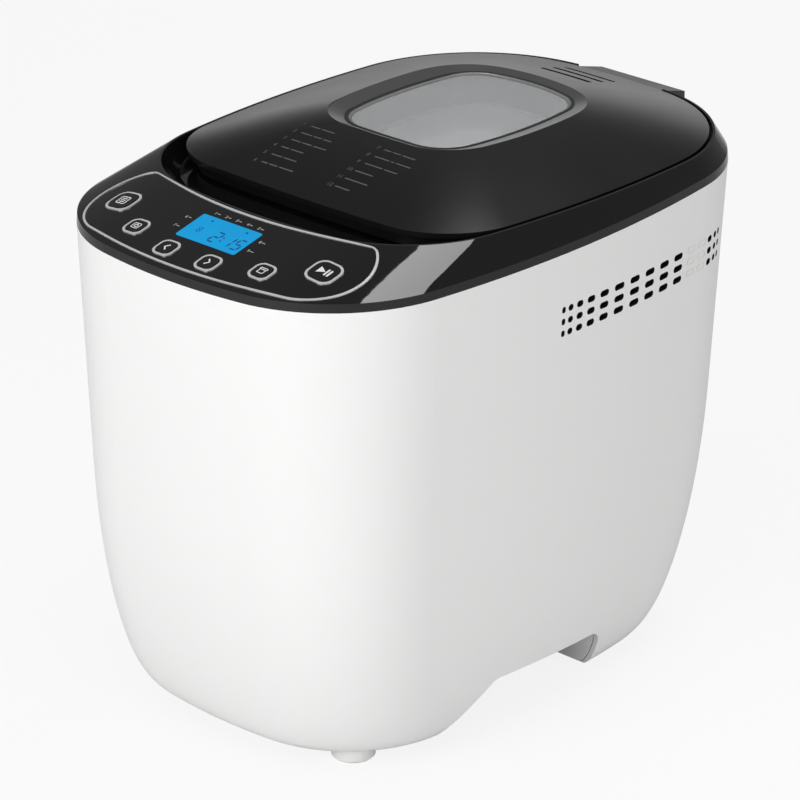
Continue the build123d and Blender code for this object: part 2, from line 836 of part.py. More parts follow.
def trim_face(inset):
    """Fills the trim's loop on the panel, moved inwards by a distance."""
    front_x, front_y = TRIM_FRONT_CORNER[0] - inset / sqrt(2), TRIM_FRONT_CORNER[1] + inset / sqrt(2)
    back_x, back_y = TRIM_BACK_CORNER[0] - inset / sqrt(2), TRIM_BACK_CORNER[1] - inset / sqrt(2)
    with BuildLine() as edge:
        ThreePointArc((-back_x, back_y), (0, TRIM_BACK - inset), (back_x, back_y))
        ThreePointArc((back_x, back_y), (TRIM_HALF - inset, 0), (front_x, front_y))
        ThreePointArc((front_x, front_y), (0, TRIM_FRONT + inset), (-front_x, front_y))
        ThreePointArc((-front_x, front_y), (-TRIM_HALF + inset, 0), (-back_x, back_y))
    make_face(edge.edges())


with BuildPart() as panel_trim:
    with BuildSketch(PANEL.offset(-BOARD_DEPTH / 2)) as trim_outside:
        trim_face(0)
        fillet(trim_outside.vertices(), TRIM_ROUND)
    extrude(amount=BOARD_DEPTH)
    with BuildSketch(PANEL.offset(-BOARD_DEPTH / 2)) as trim_inside:
        trim_face(TRIM_W)
        fillet(trim_inside.vertices(), TRIM_ROUND - TRIM_W)
    extrude(amount=BOARD_DEPTH, mode=Mode.SUBTRACT)
    add(proud(TRIM_PROUD), mode=Mode.INTERSECT)
    add(frame_outside, mode=Mode.SUBTRACT)
keep(panel_trim, "panel_trim")

bezel_foot = PANEL.offset(-BEZEL_DEPTH)
with BuildPart() as button_bezels:
    with BuildSketch(bezel_foot):
        for name, way, place, size in BUTTONS:
            button_face(way, place, size + 2 * (BUTTON_GAP + BEZEL_W))
    extrude(amount=2 * BEZEL_DEPTH)
    with BuildSketch(bezel_foot):
        for name, way, place, size in BUTTONS:
            button_face(way, place, size + 2 * BUTTON_GAP)
    extrude(amount=2 * BEZEL_DEPTH, mode=Mode.SUBTRACT)
    add(proud(BEZEL_PROUD), mode=Mode.INTERSECT)
keep(button_bezels, "button_bezels")

for name, way, place, size in BUTTONS:
    with BuildPart() as button:
        with BuildSketch(PANEL.offset(-CAP_DEPTH)):
            button_face(way, place, size)
        extrude(amount=CAP_DEPTH + 2 * BUTTON_PROUD)
        add(proud(BUTTON_PROUD), mode=Mode.INTERSECT)
        with BuildSketch(PANEL.offset(-CAP_DEPTH - FLANGE_T)):
            button_face(way, place, size + 2 * (FLANGE_W + BUTTON_GAP))
        extrude(amount=FLANGE_T)
        stem = BOARD_DEPTH - CAP_DEPTH - FLANGE_T - SWITCH_SIZE / 2 - BUTTON_TRAVEL - FIT
        discs(PANEL.offset(-CAP_DEPTH - FLANGE_T), [(way * place[0], place[1])], STEM_R, -stem)
    keep(button, name)

with BuildPart() as display_lens:
    rounded(PANEL.offset(-LENS_T), DISPLAY_W, DISPLAY_H, DISPLAY_ROUND, LENS_T)
keep(display_lens, "display_lens")

with BuildPart() as display_module:
    for foot, grow, height in (
        (BOARD_DEPTH, MODULE_RIM, BOARD_DEPTH - LENS_T - MODULE_STEP),
        (LENS_T + MODULE_STEP, -MODULE_INSET, MODULE_STEP),
    ):
        slab(PANEL.offset(-foot), (0, 0), DISPLAY_W + 2 * grow, DISPLAY_H + 2 * grow, height)
keep(display_module, "display_module")

with BuildPart() as control_board:
    slab(PANEL.offset(-BOARD_DEPTH), (0, BOARD_Y), BOARD_W, BOARD_H, -BOARD_T)
    slab(PANEL.offset(-BOARD_DEPTH), (0, BOARD_TAB_Y), BOARD_TAB_W, BOARD_TAB_H, -BOARD_T)
    discs(PANEL.offset(-BOARD_DEPTH), BOARD_POSTS, SCREW_R + RUN, -BOARD_T, Mode.SUBTRACT)
keep(control_board, "control_board")

with BuildPart() as button_switches:
    for name, way, place, size in BUTTONS:
        at = (way * place[0], place[1])
        slab(PANEL.offset(-BOARD_DEPTH), at, SWITCH_SIZE, SWITCH_SIZE, SWITCH_SIZE / 2)
keep(button_switches, "button_switches")

with BuildPart() as board_screws:
    discs(PANEL.offset(-BOARD_DEPTH - BOARD_T), BOARD_POSTS, SCREW_HEAD_R, -SCREW_HEAD_H)
    discs(PANEL.offset(-BOARD_DEPTH - BOARD_T), BOARD_POSTS, SCREW_R, BOARD_DEPTH / 2)
keep(board_screws, "board_screws")

# Oven: sheet-metal box hung under the well, with a tubular heater round the pan
oven_top = TRAY_Z - TRAY_T
oven_front = OVEN_Y - OVEN_HALF_D
front_wall = Plane(origin=(0, BODY_Y + oven_front, 0), x_dir=(1, 0, 0), z_dir=(0, -1, 0))
heater_half_w = OVEN_HALF_W - HEATER_GAP - HEATER_R
heater_half_d = OVEN_HALF_D - HEATER_GAP - HEATER_R
spacer_points = [(x, y) for x in (-SPACER_X, SPACER_X) for y in (-SPACER_Y, SPACER_Y)]
with BuildPart() as oven_chamber:
    rounded(
        oven_level(OVEN_FLOOR),
        2 * (OVEN_HALF_W + SHEET),
        2 * (OVEN_HALF_D + SHEET),
        OVEN_CORNER + SHEET,
        oven_top - OVEN_FLOOR,
    )
    rounded(
        oven_level(oven_top - SHEET),
        2 * (OVEN_HALF_W + FLANGE),
        2 * (OVEN_HALF_D + FLANGE / 2),
        OVEN_CORNER,
        SHEET,
    )
    rounded(
        oven_level(OVEN_FLOOR + SHEET),
        2 * OVEN_HALF_W,
        2 * OVEN_HALF_D,
        OVEN_CORNER,
        oven_top - OVEN_FLOOR,
        Mode.SUBTRACT,
    )
    discs(oven_level(OVEN_FLOOR), [(0, 0)], BEARING_R + 1, SHEET, Mode.SUBTRACT)
    discs(front_wall, [(-HEATER_X, HEATER_Z), (HEATER_X, HEATER_Z)], BUSHING_R + RUN, SHEET, Mode.SUBTRACT)
    discs(front_wall, [(SENSOR_X, SENSOR_Z)], SENSOR_R + RUN, SHEET, Mode.SUBTRACT)
    discs(level(oven_top - SHEET), chamber_screws_at, SCREW_R + RUN, SHEET, Mode.SUBTRACT)
keep(oven_chamber, "oven_chamber")

with BuildPart() as chamber_screws:
    discs(level(TRAY_Z), chamber_screws_at, SCREW_HEAD_R, -SCREW_HEAD_H)
    discs(level(TRAY_Z - SCREW_HEAD_H), chamber_screws_at, SCREW_R, -3 * TRAY_T)
keep(chamber_screws, "chamber_screws")

with BuildPart() as chamber_spacers:
    discs(oven_level(BRACKET_Z + BRACKET_T), spacer_points, SPACER_R, OVEN_FLOOR - BRACKET_Z - BRACKET_T)
keep(chamber_spacers, "chamber_spacers")

with BuildPart() as heating_element:
    outside = -OVEN_HALF_D - HEATER_TAIL
    bends = [HEATER_BEND, *[HEATER_ROUND] * 4, HEATER_BEND]
    with BuildLine(oven_level(HEATER_Z)) as heater_path:
        FilletPolyline(
            (-HEATER_X, outside),
            (-HEATER_X, -heater_half_d),
            (-heater_half_w, -heater_half_d),
            (-heater_half_w, heater_half_d),
            (heater_half_w, heater_half_d),
            (heater_half_w, -heater_half_d),
            (HEATER_X, -heater_half_d),
            (HEATER_X, outside),
            radius=bends,
        )
    with BuildSketch(heater_path.line ^ 0):
        Circle(HEATER_R)
    sweep()
keep(heating_element, "heating_element")

with BuildPart() as heater_bushings:
    for x in (-HEATER_X, HEATER_X):
        discs(front_wall.offset(-1), [(x, HEATER_Z)], BUSHING_R, BUSHING_LENGTH)
        discs(front_wall.offset(SHEET), [(x, HEATER_Z)], BUSHING_R + 2, BUSHING_LENGTH / 2)
        discs(front_wall.offset(-1), [(x, HEATER_Z)], HEATER_R + RUN, BUSHING_LENGTH + 2, Mode.SUBTRACT)
keep(heater_bushings, "heater_bushings")

clip_z = HEATER_Z - HEATER_CLIP_H / 2
with BuildPart() as heater_clips:
    for way in (-1, 1):
        middle = (way * (OVEN_HALF_W - HEATER_GAP), 0)
        slab(oven_level(clip_z), middle, 2 * HEATER_GAP, HEATER_CLIP_W, HEATER_CLIP_H)
    back_clip = (0, OVEN_HALF_D - HEATER_GAP)
    slab(oven_level(clip_z), back_clip, HEATER_CLIP_W, 2 * HEATER_GAP, HEATER_CLIP_H)
    for way in (-1, 1):
        with BuildSketch(Plane.XZ.offset(-OVEN_Y - BODY_Y)):
            with Locations((way * heater_half_w, HEATER_Z)):
                Circle(HEATER_R + RUN)
        extrude(amount=HEATER_CLIP_W, both=True, mode=Mode.SUBTRACT)
    with BuildSketch(upright()):
        with Locations((OVEN_Y + heater_half_d, HEATER_Z)):
            Circle(HEATER_R + RUN)
    extrude(amount=HEATER_CLIP_W, both=True, mode=Mode.SUBTRACT)
keep(heater_clips, "heater_clips")

with BuildPart() as temperature_sensor:
    discs(front_wall.offset(-SENSOR_REACH), [(SENSOR_X, SENSOR_Z)], SENSOR_R, SENSOR_REACH + BUSHING_LENGTH)
    discs(front_wall.offset(SHEET), [(SENSOR_X, SENSOR_Z)], 2 * SENSOR_R, 2)
keep(temperature_sensor, "temperature_sensor")

with BuildPart() as pan_seat:
    discs(oven_level(OVEN_FLOOR + SHEET), [(0, 0)], SEAT_R, SEAT_H)
    discs(oven_level(OVEN_FLOOR + SHEET), [(0, 0)], SEAT_BORE, SEAT_H, Mode.SUBTRACT)
    chamfer(pan_seat.edges().group_by(Axis.Z)[-1], SEAT_CHAMFER)
keep(pan_seat, "pan_seat")

# Drive: bracket on the base, bearing, shaft, pulleys and belt, and the motor beside the oven
motor_level = Plane((0, BODY_Y + MOTOR_Y, BRACKET_Z + BRACKET_T))
motor_screw_points = [(x, y) for x in (-MOTOR_SCREW, MOTOR_SCREW) for y in (-MOTOR_SCREW, MOTOR_SCREW)]
bracket_middle = (BRACKET_FRONT + BRACKET_BACK) / 2
with BuildPart() as drive_bracket:
    slab(
        level(BRACKET_Z),
        (0, bracket_middle),
        2 * BRACKET_HALF_W,
        BRACKET_BACK - BRACKET_FRONT,
        BRACKET_T,
    )
    slab(
        level(BRACKET_Z),
        (-BRACKET_HALF_W + BRACKET_T / 2, MOTOR_Y),
        BRACKET_T,
        2 * ROTOR_R,
        BRACKET_UPSTAND,
    )
    discs(oven_level(BRACKET_Z), [(0, 0)], BEARING_R + RUN, BRACKET_T, Mode.SUBTRACT)
    discs(motor_level.offset(-BRACKET_T), [(0, 0)], 2 * MOTOR_SHAFT_R, BRACKET_T, Mode.SUBTRACT)
    discs(motor_level.offset(-BRACKET_T), motor_screw_points, SCREW_R + RUN, BRACKET_T, Mode.SUBTRACT)
keep(drive_bracket, "drive_bracket")

bearing_foot = PULLEY_Z + PULLEY_H + 1
with BuildPart() as drive_bearing:
    discs(oven_level(bearing_foot), [(0, 0)], BEARING_R, OVEN_FLOOR - bearing_foot)
    discs(oven_level(BRACKET_Z + BRACKET_T), [(0, 0)], BEARING_FLANGE_R, BEARING_FLANGE_T)
    discs(oven_level(bearing_foot), [(0, 0)], SHAFT_R + RUN, OVEN_FLOOR, Mode.SUBTRACT)
keep(drive_bearing, "drive_bearing")

with BuildPart() as drive_shaft:
    shaft_length = COUPLER_Z - PULLEY_Z + SHAFT_FOOT + SHAFT_SEAT
    discs(oven_level(PULLEY_Z - SHAFT_FOOT), [(0, 0)], SHAFT_R, shaft_length)
keep(drive_shaft, "drive_shaft")

with BuildPart() as drive_coupler:
    discs(oven_level(COUPLER_Z), [(0, 0)], COUPLER_R, COUPLER_T)
    discs(oven_level(COUPLER_Z), [(0, 0)], SHAFT_R + RUN / 5, SHAFT_SEAT, Mode.SUBTRACT)
    for x in (-LUG_X, LUG_X):
        slab(oven_level(COUPLER_Z + COUPLER_T), (x, 0), LUG_W, LUG_LENGTH, LUG_H)
keep(drive_coupler, "drive_coupler")


def pulley(plane, seat, bore):
    """Flanged pulley standing on a plane."""
    discs(plane, [(0, 0)], seat, PULLEY_H)
    discs(plane, [(0, 0)], seat + PULLEY_FLANGE, PULLEY_RIM)
    discs(plane.offset(PULLEY_H - PULLEY_RIM), [(0, 0)], seat + PULLEY_FLANGE, PULLEY_RIM)
    discs(plane, [(0, 0)], bore + RUN, PULLEY_H, Mode.SUBTRACT)


with BuildPart() as drive_pulley:
    pulley(oven_level(PULLEY_Z), DRIVE_PULLEY_R, SHAFT_R)
    with BuildSketch(oven_level(PULLEY_Z)):
        with PolarLocations(PULLEY_HOLE_CIRCLE, PULLEY_HOLES):
            Circle(PULLEY_HOLE_R)
    extrude(amount=PULLEY_H, mode=Mode.SUBTRACT)
keep(drive_pulley, "drive_pulley")

with BuildPart() as shaft_clip:
    discs(oven_level(PULLEY_Z + PULLEY_H), [(0, 0)], SHAFT_R + SHAFT_CLIP_W, SHAFT_CLIP_T)
    discs(oven_level(PULLEY_Z + PULLEY_H), [(0, 0)], SHAFT_R + RUN / 5, SHAFT_CLIP_T, Mode.SUBTRACT)
keep(shaft_clip, "shaft_clip")


def belt_loop(grow, mode):
    """Both pulley seats and the tangents between them, grown outwards."""
    big, small = DRIVE_PULLEY_R + grow, MOTOR_PULLEY_R + grow
    lean = (big - small) / (OVEN_Y - MOTOR_Y)
    out = sqrt(1 - lean**2)
    with BuildSketch(level(PULLEY_Z + PULLEY_RIM + BELT_GAP)) as face:
        with Locations((0, OVEN_Y)):
            Circle(big)
        with Locations((0, MOTOR_Y)):
            Circle(small)
        with BuildLine():
            Polyline(
                (big * out, OVEN_Y - big * lean),
                (small * out, MOTOR_Y - small * lean),
                (-small * out, MOTOR_Y - small * lean),
                (-big * out, OVEN_Y - big * lean),
                close=True,
            )
        make_face()
    extrude(face.sketch, amount=PULLEY_H - 2 * PULLEY_RIM - 2 * BELT_GAP, mode=mode)


with BuildPart() as drive_belt:
    belt_loop(BELT_GAP + BELT_T, Mode.ADD)
    belt_loop(BELT_GAP, Mode.SUBTRACT)
keep(drive_belt, "drive_belt")

with BuildPart() as motor_can:
    discs(motor_level, [(0, 0)], MOTOR_R, MOTOR_H)
    inside = MOTOR_H - 2 * MOTOR_WALL
    discs(motor_level.offset(MOTOR_WALL), [(0, 0)], MOTOR_R - MOTOR_WALL, inside, Mode.SUBTRACT)
    discs(motor_level, [(0, 0)], MOTOR_SHAFT_R + RUN, MOTOR_H, Mode.SUBTRACT)
    discs(motor_level, motor_screw_points, SCREW_R + RUN, MOTOR_WALL, Mode.SUBTRACT)
keep(motor_can, "motor_can")

with BuildPart() as motor_stator:
    discs(motor_level.offset(2 * MOTOR_WALL), [(0, 0)], MOTOR_R - MOTOR_WALL, MOTOR_H - 4 * MOTOR_WALL)
    discs(motor_level.offset(2 * MOTOR_WALL), [(0, 0)], STATOR_R, MOTOR_H, Mode.SUBTRACT)
keep(motor_stator, "motor_stator")

with BuildPart() as motor_rotor:
    discs(motor_level.offset(3 * MOTOR_WALL), [(0, 0)], ROTOR_R, MOTOR_H - 6 * MOTOR_WALL)
    discs(motor_level.offset(3 * MOTOR_WALL), [(0, 0)], MOTOR_SHAFT_R + RUN / 5, MOTOR_H, Mode.SUBTRACT)
keep(motor_rotor, "motor_rotor")

with BuildPart() as motor_shaft:
    motor_shaft_foot = PULLEY_Z - SHAFT_FOOT
    shaft_length = BRACKET_Z + BRACKET_T + MOTOR_H + MOTOR_SHAFT_END - motor_shaft_foot
    discs(Plane((0, BODY_Y + MOTOR_Y, motor_shaft_foot)), [(0, 0)], MOTOR_SHAFT_R, shaft_length)
keep(motor_shaft, "motor_shaft")

with BuildPart() as motor_pulley:
    pulley(Plane((0, BODY_Y + MOTOR_Y, PULLEY_Z)), MOTOR_PULLEY_R, MOTOR_SHAFT_R)
keep(motor_pulley, "motor_pulley")

with BuildPart() as motor_screws:
    discs(motor_level.offset(-BRACKET_T), motor_screw_points, SCREW_HEAD_R, -SCREW_HEAD_H)
    discs(motor_level.offset(-BRACKET_T), motor_screw_points, SCREW_R, BRACKET_T + MOTOR_WALL)
keep(motor_screws, "motor_screws")

# Power board on the bracket's upstand
board_plane = Plane(
    origin=(-BRACKET_HALF_W, BODY_Y + MOTOR_Y, BRACKET_Z + BRACKET_T),
    x_dir=(0, -1, 0),
    z_dir=(-1, 0, 0),
)
standoff_points = [(x, y) for x in (-STANDOFF_X, STANDOFF_X) for y in STANDOFF_Z]
component_side = board_plane.offset(STANDOFF_H + BOARD_T)
with BuildPart() as board_standoffs:
    discs(board_plane, standoff_points, STANDOFF_R, STANDOFF_H)
keep(board_standoffs, "board_standoffs")

with BuildPart() as power_board:
    slab(board_plane.offset(STANDOFF_H), (0, POWER_BOARD_Z), POWER_BOARD_W, POWER_BOARD_H, BOARD_T)
keep(power_board, "power_board")

with BuildPart() as power_components:
    slab(component_side, RELAY_AT, *RELAY)
    slab(component_side, CHOKE_AT, *CHOKE)
    discs(component_side, [CAPACITOR_AT], CAPACITOR_R, CAPACITOR_H)
keep(power_components, "power_components")

# Lid: matte dome over a metal liner, with a double window, steam slots and a seal
steam_y = [LID.back - STEAM_SETBACK - i * STEAM_PITCH for i in range(STEAM_COUNT)]
lid_screw_x = LID.half_width - LID_SCREW_EDGE
lid_screw_points = [(x, OVEN_Y + y) for x in (-lid_screw_x, lid_screw_x) for y in LID_SCREW_SPREAD]
lid_screw_points += [(x, LID.front + LID_SCREW_FRONT[1]) for x in (-LID_SCREW_FRONT[0], LID_SCREW_FRONT[0])]
skirt_inside = LID.inset(SKIRT_INSET + SKIRT_T)
glass_foot = GLASS_TOP - GLASS_T
liner_top = LINER_Z + LINER_T
with BuildPart() as lid_hollow:
    add(dome(LID_WALL))
    prism(LID, SKIRT_Z - 1, LID_EDGE_Z - LID_WALL)
    with BuildSketch(level(SKIRT_Z - 1)):
        outline_face(skirt_inside)
    extrude(amount=2 * LID_RISE, mode=Mode.INTERSECT)

with BuildPart() as lid_bosses:
    discs(level(liner_top), lid_screw_points, LID_BOSS_R, 2 * LID_RISE)
    with BuildPart(mode=Mode.PRIVATE) as crown_room:
        add(dome())
        prism(LID, SKIRT_Z, LID_EDGE_Z)
    add(crown_room.part, mode=Mode.INTERSECT)

with BuildPart() as lid_cover:
    add(dome())
    prism(LID, LID_EDGE_Z - LID_EDGE_T, LID_EDGE_Z)
    prism(LID.inset(SKIRT_INSET), SKIRT_Z, LID_EDGE_Z - LID_EDGE_T)
    add(lid_hollow.part, mode=Mode.SUBTRACT)
    prism(DISH.inset(-PAD_MARGIN), glass_foot - PAD_T / 2, GLASS_TOP)
    prism(WINDOW.inset(LEDGE - WINDOW_WALL), liner_top, glass_foot)
    add(lid_bosses.part)
    prism(WINDOW.inset(LEDGE), SKIRT_Z, GLASS_TOP + LID_RISE, Mode.SUBTRACT)
    prism(WINDOW, glass_foot, GLASS_TOP + LID_RISE, Mode.SUBTRACT)
    with BuildSketch(level(GLASS_TOP)):
        outline_face(WINDOW)
    with BuildSketch(level(DISH_Z)):
        outline_face(DISH)
    loft(ruled=True, mode=Mode.SUBTRACT)
    prism(DISH, DISH_Z, DISH_Z + LID_RISE, Mode.SUBTRACT)
    with BuildSketch(level(SKIRT_Z)):
        for y in steam_y:
            with Locations((0, y)):
                SlotOverall(STEAM_LENGTH, STEAM_W)
    extrude(amount=2 * LID_RISE, mode=Mode.SUBTRACT)
    slab(
        level(SKIRT_Z),
        (0, LID.back - SKIRT_INSET),
        TANG_W + 2 * FIT,
        4 * SKIRT_T,
        liner_top - SKIRT_Z + TANG_T + FIT,
        Mode.SUBTRACT,
    )
    discs(level(liner_top), lid_screw_points, LID_SCREW_R + RUN, LID_SCREW_L, Mode.SUBTRACT)
keep(lid_cover, "lid_cover")

with BuildPart() as window_gasket:
    prism(WINDOW.inset(RUN), glass_foot, GLASS_TOP + GASKET_PROUD)
    prism(WINDOW.inset(GASKET_W), glass_foot, GLASS_TOP + GASKET_PROUD, Mode.SUBTRACT)
keep(window_gasket, "window_gasket")

with BuildPart() as window_glass:
    prism(WINDOW.inset(GASKET_W + RUN), glass_foot, GLASS_TOP)
keep(window_glass, "window_glass")

with BuildPart() as lid_liner:
    prism(skirt_inside.inset(FIT), LINER_Z, liner_top)
    prism(WINDOW.inset(2 * LEDGE), LINER_Z, liner_top, Mode.SUBTRACT)
    discs(level(LINER_Z), lid_screw_points, LID_SCREW_R + RUN, LINER_T, Mode.SUBTRACT)
    with BuildSketch(level(LINER_Z)):
        for y in steam_y:
            with Locations((0, y)):
                SlotOverall(STEAM_LENGTH, STEAM_W)
    extrude(amount=LINER_T, mode=Mode.SUBTRACT)
keep(lid_liner, "lid_liner")

with BuildPart() as inner_glass:
    prism(WINDOW.inset(LEDGE + FIT), liner_top, liner_top + INNER_GLASS_T)
keep(inner_glass, "inner_glass")

seal_line = skirt_inside.inset(SEAL_SET)
with BuildPart() as lid_seal:
    prism(seal_line, TRAY_Z + FIT, LINER_Z)
    prism(seal_line.inset(SEAL_W), TRAY_Z + FIT, LINER_Z, Mode.SUBTRACT)
keep(lid_seal, "lid_seal")

with BuildPart() as lid_screws:
    discs(level(LINER_Z), lid_screw_points, SCREW_HEAD_R, -SCREW_HEAD_H)
    discs(level(LINER_Z), lid_screw_points, LID_SCREW_R, LID_SCREW_L)
keep(lid_screws, "lid_screws")

# Hinge cover: turns with the lid, its end knuckles ride on the pin either side of the post
hinge_back = BODY_D / 2 + HINGE_OVERHANG
hinge_front = LID.back + FIT / 2
knuckle_front = HINGE_Y - KNUCKLE_R - HINGE_GAP
cover_profile = [
    (hinge_front, NOTCH_Z + HINGE_LIFT),
    (hinge_front, HINGE_FRONT_Z),
    (hinge_back, HINGE_BACK_Z),
    (hinge_back, HINGE_FOOT_Z),
    (HINGE_Y + HINGE_CHAMFER, HINGE_Z - KNUCKLE_R - HINGE_GAP),
    (HINGE_Y - HINGE_HEEL, HINGE_Z - KNUCKLE_R - HINGE_GAP),
    (knuckle_front, HINGE_Z - HINGE_CHAMFER),
    (knuckle_front, NOTCH_Z + HINGE_LIFT),
]
with BuildPart() as hinge_cover:
    with BuildSketch(upright()):
        with BuildLine():
            Polyline(*cover_profile, close=True)
        make_face()
    extrude(amount=HINGE_W / 2, both=True)
    with BuildSketch(upright()):
        with BuildLine():
            Polyline(
                (hinge_front - 1, HINGE_Z - 2 * KNUCKLE_R),
                (hinge_front - 1, HINGE_FRONT_Z - HINGE_TOP_T),
                (hinge_back - HINGE_WALL, HINGE_BACK_Z - HINGE_TOP_T),
                (hinge_back - HINGE_WALL, HINGE_Z - 2 * KNUCKLE_R),
                close=True,
            )
        make_face()
    extrude(amount=POST_W / 2 + HINGE_GAP, both=True, mode=Mode.SUBTRACT)
    slab(level(liner_top), (0, hinge_front + 1 - TANG_LENGTH / 2), TANG_W, TANG_LENGTH + 2, TANG_T)
    with BuildSketch(hinge_axis):
        Circle(PIN_R + RUN)
    extrude(amount=HINGE_W / 2 - HINGE_WALL + RUN, both=True, mode=Mode.SUBTRACT)
keep(hinge_cover, "hinge_cover")

# Bread pan with its bail, shaft, coupling and paddle
with BuildPart() as bread_pan:
    for inset, floor, mode in ((0, PAN_Z, Mode.ADD), (PAN_WALL, PAN_Z + PAN_WALL, Mode.SUBTRACT)):
        with BuildSketch(oven_level(floor)):
            RectangleRounded(
                2 * (PAN_HALF_W - PAN_DRAFT - inset),
                2 * (PAN_HALF_D - PAN_DRAFT - inset),
                PAN_CORNER - inset,
            )
        with BuildSketch(oven_level(PAN_RIM_Z)):
            RectangleRounded(2 * (PAN_HALF_W - inset), 2 * (PAN_HALF_D - inset), PAN_CORNER - inset)
        loft(ruled=True, mode=mode)
    rounded(
        oven_level(PAN_RIM_Z - PAN_ROLL),
        2 * (PAN_HALF_W + PAN_ROLL),
        2 * (PAN_HALF_D + PAN_ROLL),
        PAN_CORNER + PAN_ROLL,
        PAN_ROLL,
    )
    rounded(
        oven_level(PAN_RIM_Z - PAN_ROLL),
        2 * (PAN_HALF_W - PAN_WALL),
        2 * (PAN_HALF_D - PAN_WALL),
        PAN_CORNER - PAN_WALL,
        PAN_ROLL,
        Mode.SUBTRACT,
    )
    for way in (-1, 1):
        ear = (way * (PAN_HALF_W + PAN_ROLL - EAR_T / 2), 0)
        slab(oven_level(PAN_RIM_Z - PAN_ROLL), ear, EAR_T, EAR_W, BAIL_Z + EAR_W / 3 - PAN_RIM_Z + PAN_ROLL)
    with BuildSketch(upright()):
        with Locations((OVEN_Y, BAIL_Z)):
            Circle(BAIL_R + RUN)
    extrude(amount=BODY_W / 2, both=True, mode=Mode.SUBTRACT)
    discs(oven_level(PAN_Z), [(0, 0)], BUSH_R + RUN, PAN_WALL, Mode.SUBTRACT)
keep(bread_pan, "bread_pan")

with BuildPart() as pan_base:
    discs(oven_level(PAN_Z - PAN_BASE_H), [(0, 0)], SEAT_BORE - FIT, PAN_BASE_H)
    discs(oven_level(PAN_Z - PAN_BASE_H), [(0, 0)], SEAT_BORE - PAN_BASE_WALL, PAN_BASE_H, Mode.SUBTRACT)
keep(pan_base, "pan_base")

bush_foot = oven_level(PAN_Z - BUSH_DROP)
bush_length = BUSH_DROP + PAN_WALL + BUSH_RISE
with BuildPart() as pan_bush:
    discs(bush_foot, [(0, 0)], BUSH_R, bush_length)
    discs(oven_level(PAN_Z + PAN_WALL), [(0, 0)], BUSH_R + BUSH_FLANGE, BUSH_FLANGE_T)
    discs(bush_foot, [(0, 0)], PAN_SHAFT_R + RUN, bush_length, Mode.SUBTRACT)
keep(pan_bush, "pan_bush")

with BuildPart() as pan_handle:
    stub = PAN_HALF_W - BAIL_STUB
    with BuildLine(oven_level(BAIL_Z)) as bail_path:
        FilletPolyline(
            (stub, 0),
            (BAIL_X, 0),
            (BAIL_X, BAIL_REACH),
            (-BAIL_X, BAIL_REACH),
            (-BAIL_X, 0),
            (-stub, 0),
            radius=BAIL_BEND,
        )
    with BuildSketch(bail_path.line ^ 0):
        Circle(BAIL_R)
    sweep()
keep(pan_handle, "pan_handle")

wing_z = COUPLER_Z + COUPLER_T + WING_GAP
pan_shaft_top = PAN_Z + PAN_WALL + PAN_SHAFT_RISE + PADDLE_H
with BuildPart() as pan_shaft:
    discs(oven_level(wing_z), [(0, 0)], PAN_SHAFT_R, pan_shaft_top - wing_z)
keep(pan_shaft, "pan_shaft")

with BuildPart() as wing_coupling:
    slab(oven_level(wing_z), (0, 0), WING_W, WING_LENGTH, WING_T)
    discs(oven_level(wing_z), [(0, 0)], WING_HUB_R, WING_HUB_H)
    discs(oven_level(wing_z), [(0, 0)], PAN_SHAFT_R + RUN / 5, WING_HUB_H, Mode.SUBTRACT)
keep(wing_coupling, "wing_coupling")

paddle_z = PAN_Z + PAN_WALL + PADDLE_GAP
with BuildPart() as kneading_paddle:
    discs(oven_level(paddle_z), [(0, 0)], PADDLE_HUB_R, PADDLE_H)
    slab(oven_level(paddle_z), (PADDLE_REACH / 2, 0), PADDLE_REACH, PADDLE_T, PADDLE_H)
    discs(oven_level(paddle_z), [(0, 0)], PAN_SHAFT_R + RUN / 5, PADDLE_H, Mode.SUBTRACT)
keep(kneading_paddle, "kneading_paddle")
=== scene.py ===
import json
import math
from dataclasses import dataclass
from functools import wraps

import bmesh
import bpy
from bpy.props import FloatProperty, FloatVectorProperty, IntProperty, PointerProperty
from mathutils import Matrix, Vector
from mathutils.bvhtree import BVHTree


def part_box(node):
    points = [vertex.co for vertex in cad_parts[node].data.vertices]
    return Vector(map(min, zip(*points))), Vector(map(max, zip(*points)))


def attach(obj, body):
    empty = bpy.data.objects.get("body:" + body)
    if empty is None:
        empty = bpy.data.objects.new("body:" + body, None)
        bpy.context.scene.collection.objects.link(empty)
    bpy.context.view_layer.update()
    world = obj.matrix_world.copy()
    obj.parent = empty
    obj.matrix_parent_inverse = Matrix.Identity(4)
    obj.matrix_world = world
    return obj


bl_info = {
    "name": "Bread machine looks",
    "version": (1, 0, 0),
    "blender": (4, 5, 0),
    "location": "View3D > Sidebar > Bread machine",
    "description": "Finishes, prints, display and studio for the bread machine",
    "category": "Object",
}

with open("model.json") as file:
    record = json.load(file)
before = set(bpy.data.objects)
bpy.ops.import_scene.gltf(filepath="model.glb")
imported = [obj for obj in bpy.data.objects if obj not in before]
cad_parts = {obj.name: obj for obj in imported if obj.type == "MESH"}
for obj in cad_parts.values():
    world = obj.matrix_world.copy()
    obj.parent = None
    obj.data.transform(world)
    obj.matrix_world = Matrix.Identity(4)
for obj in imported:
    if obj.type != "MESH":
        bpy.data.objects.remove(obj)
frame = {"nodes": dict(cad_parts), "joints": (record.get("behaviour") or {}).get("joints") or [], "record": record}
NODES = frame["nodes"]
JOINTS = {joint["name"]: joint for joint in frame["joints"]}
SLOT_OF = {part["node"]: part["material_slot"] for part in frame["record"]["subparts"]}
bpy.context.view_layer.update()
MM = 0.001

# Where the camera stands and what it is aimed at, in metres
CAMERA_PLACE = Vector((1.2563, -1.34615, 0.9321))
CAMERA_TARGET = Vector((-0.00063, -0.0113, 0.13305))

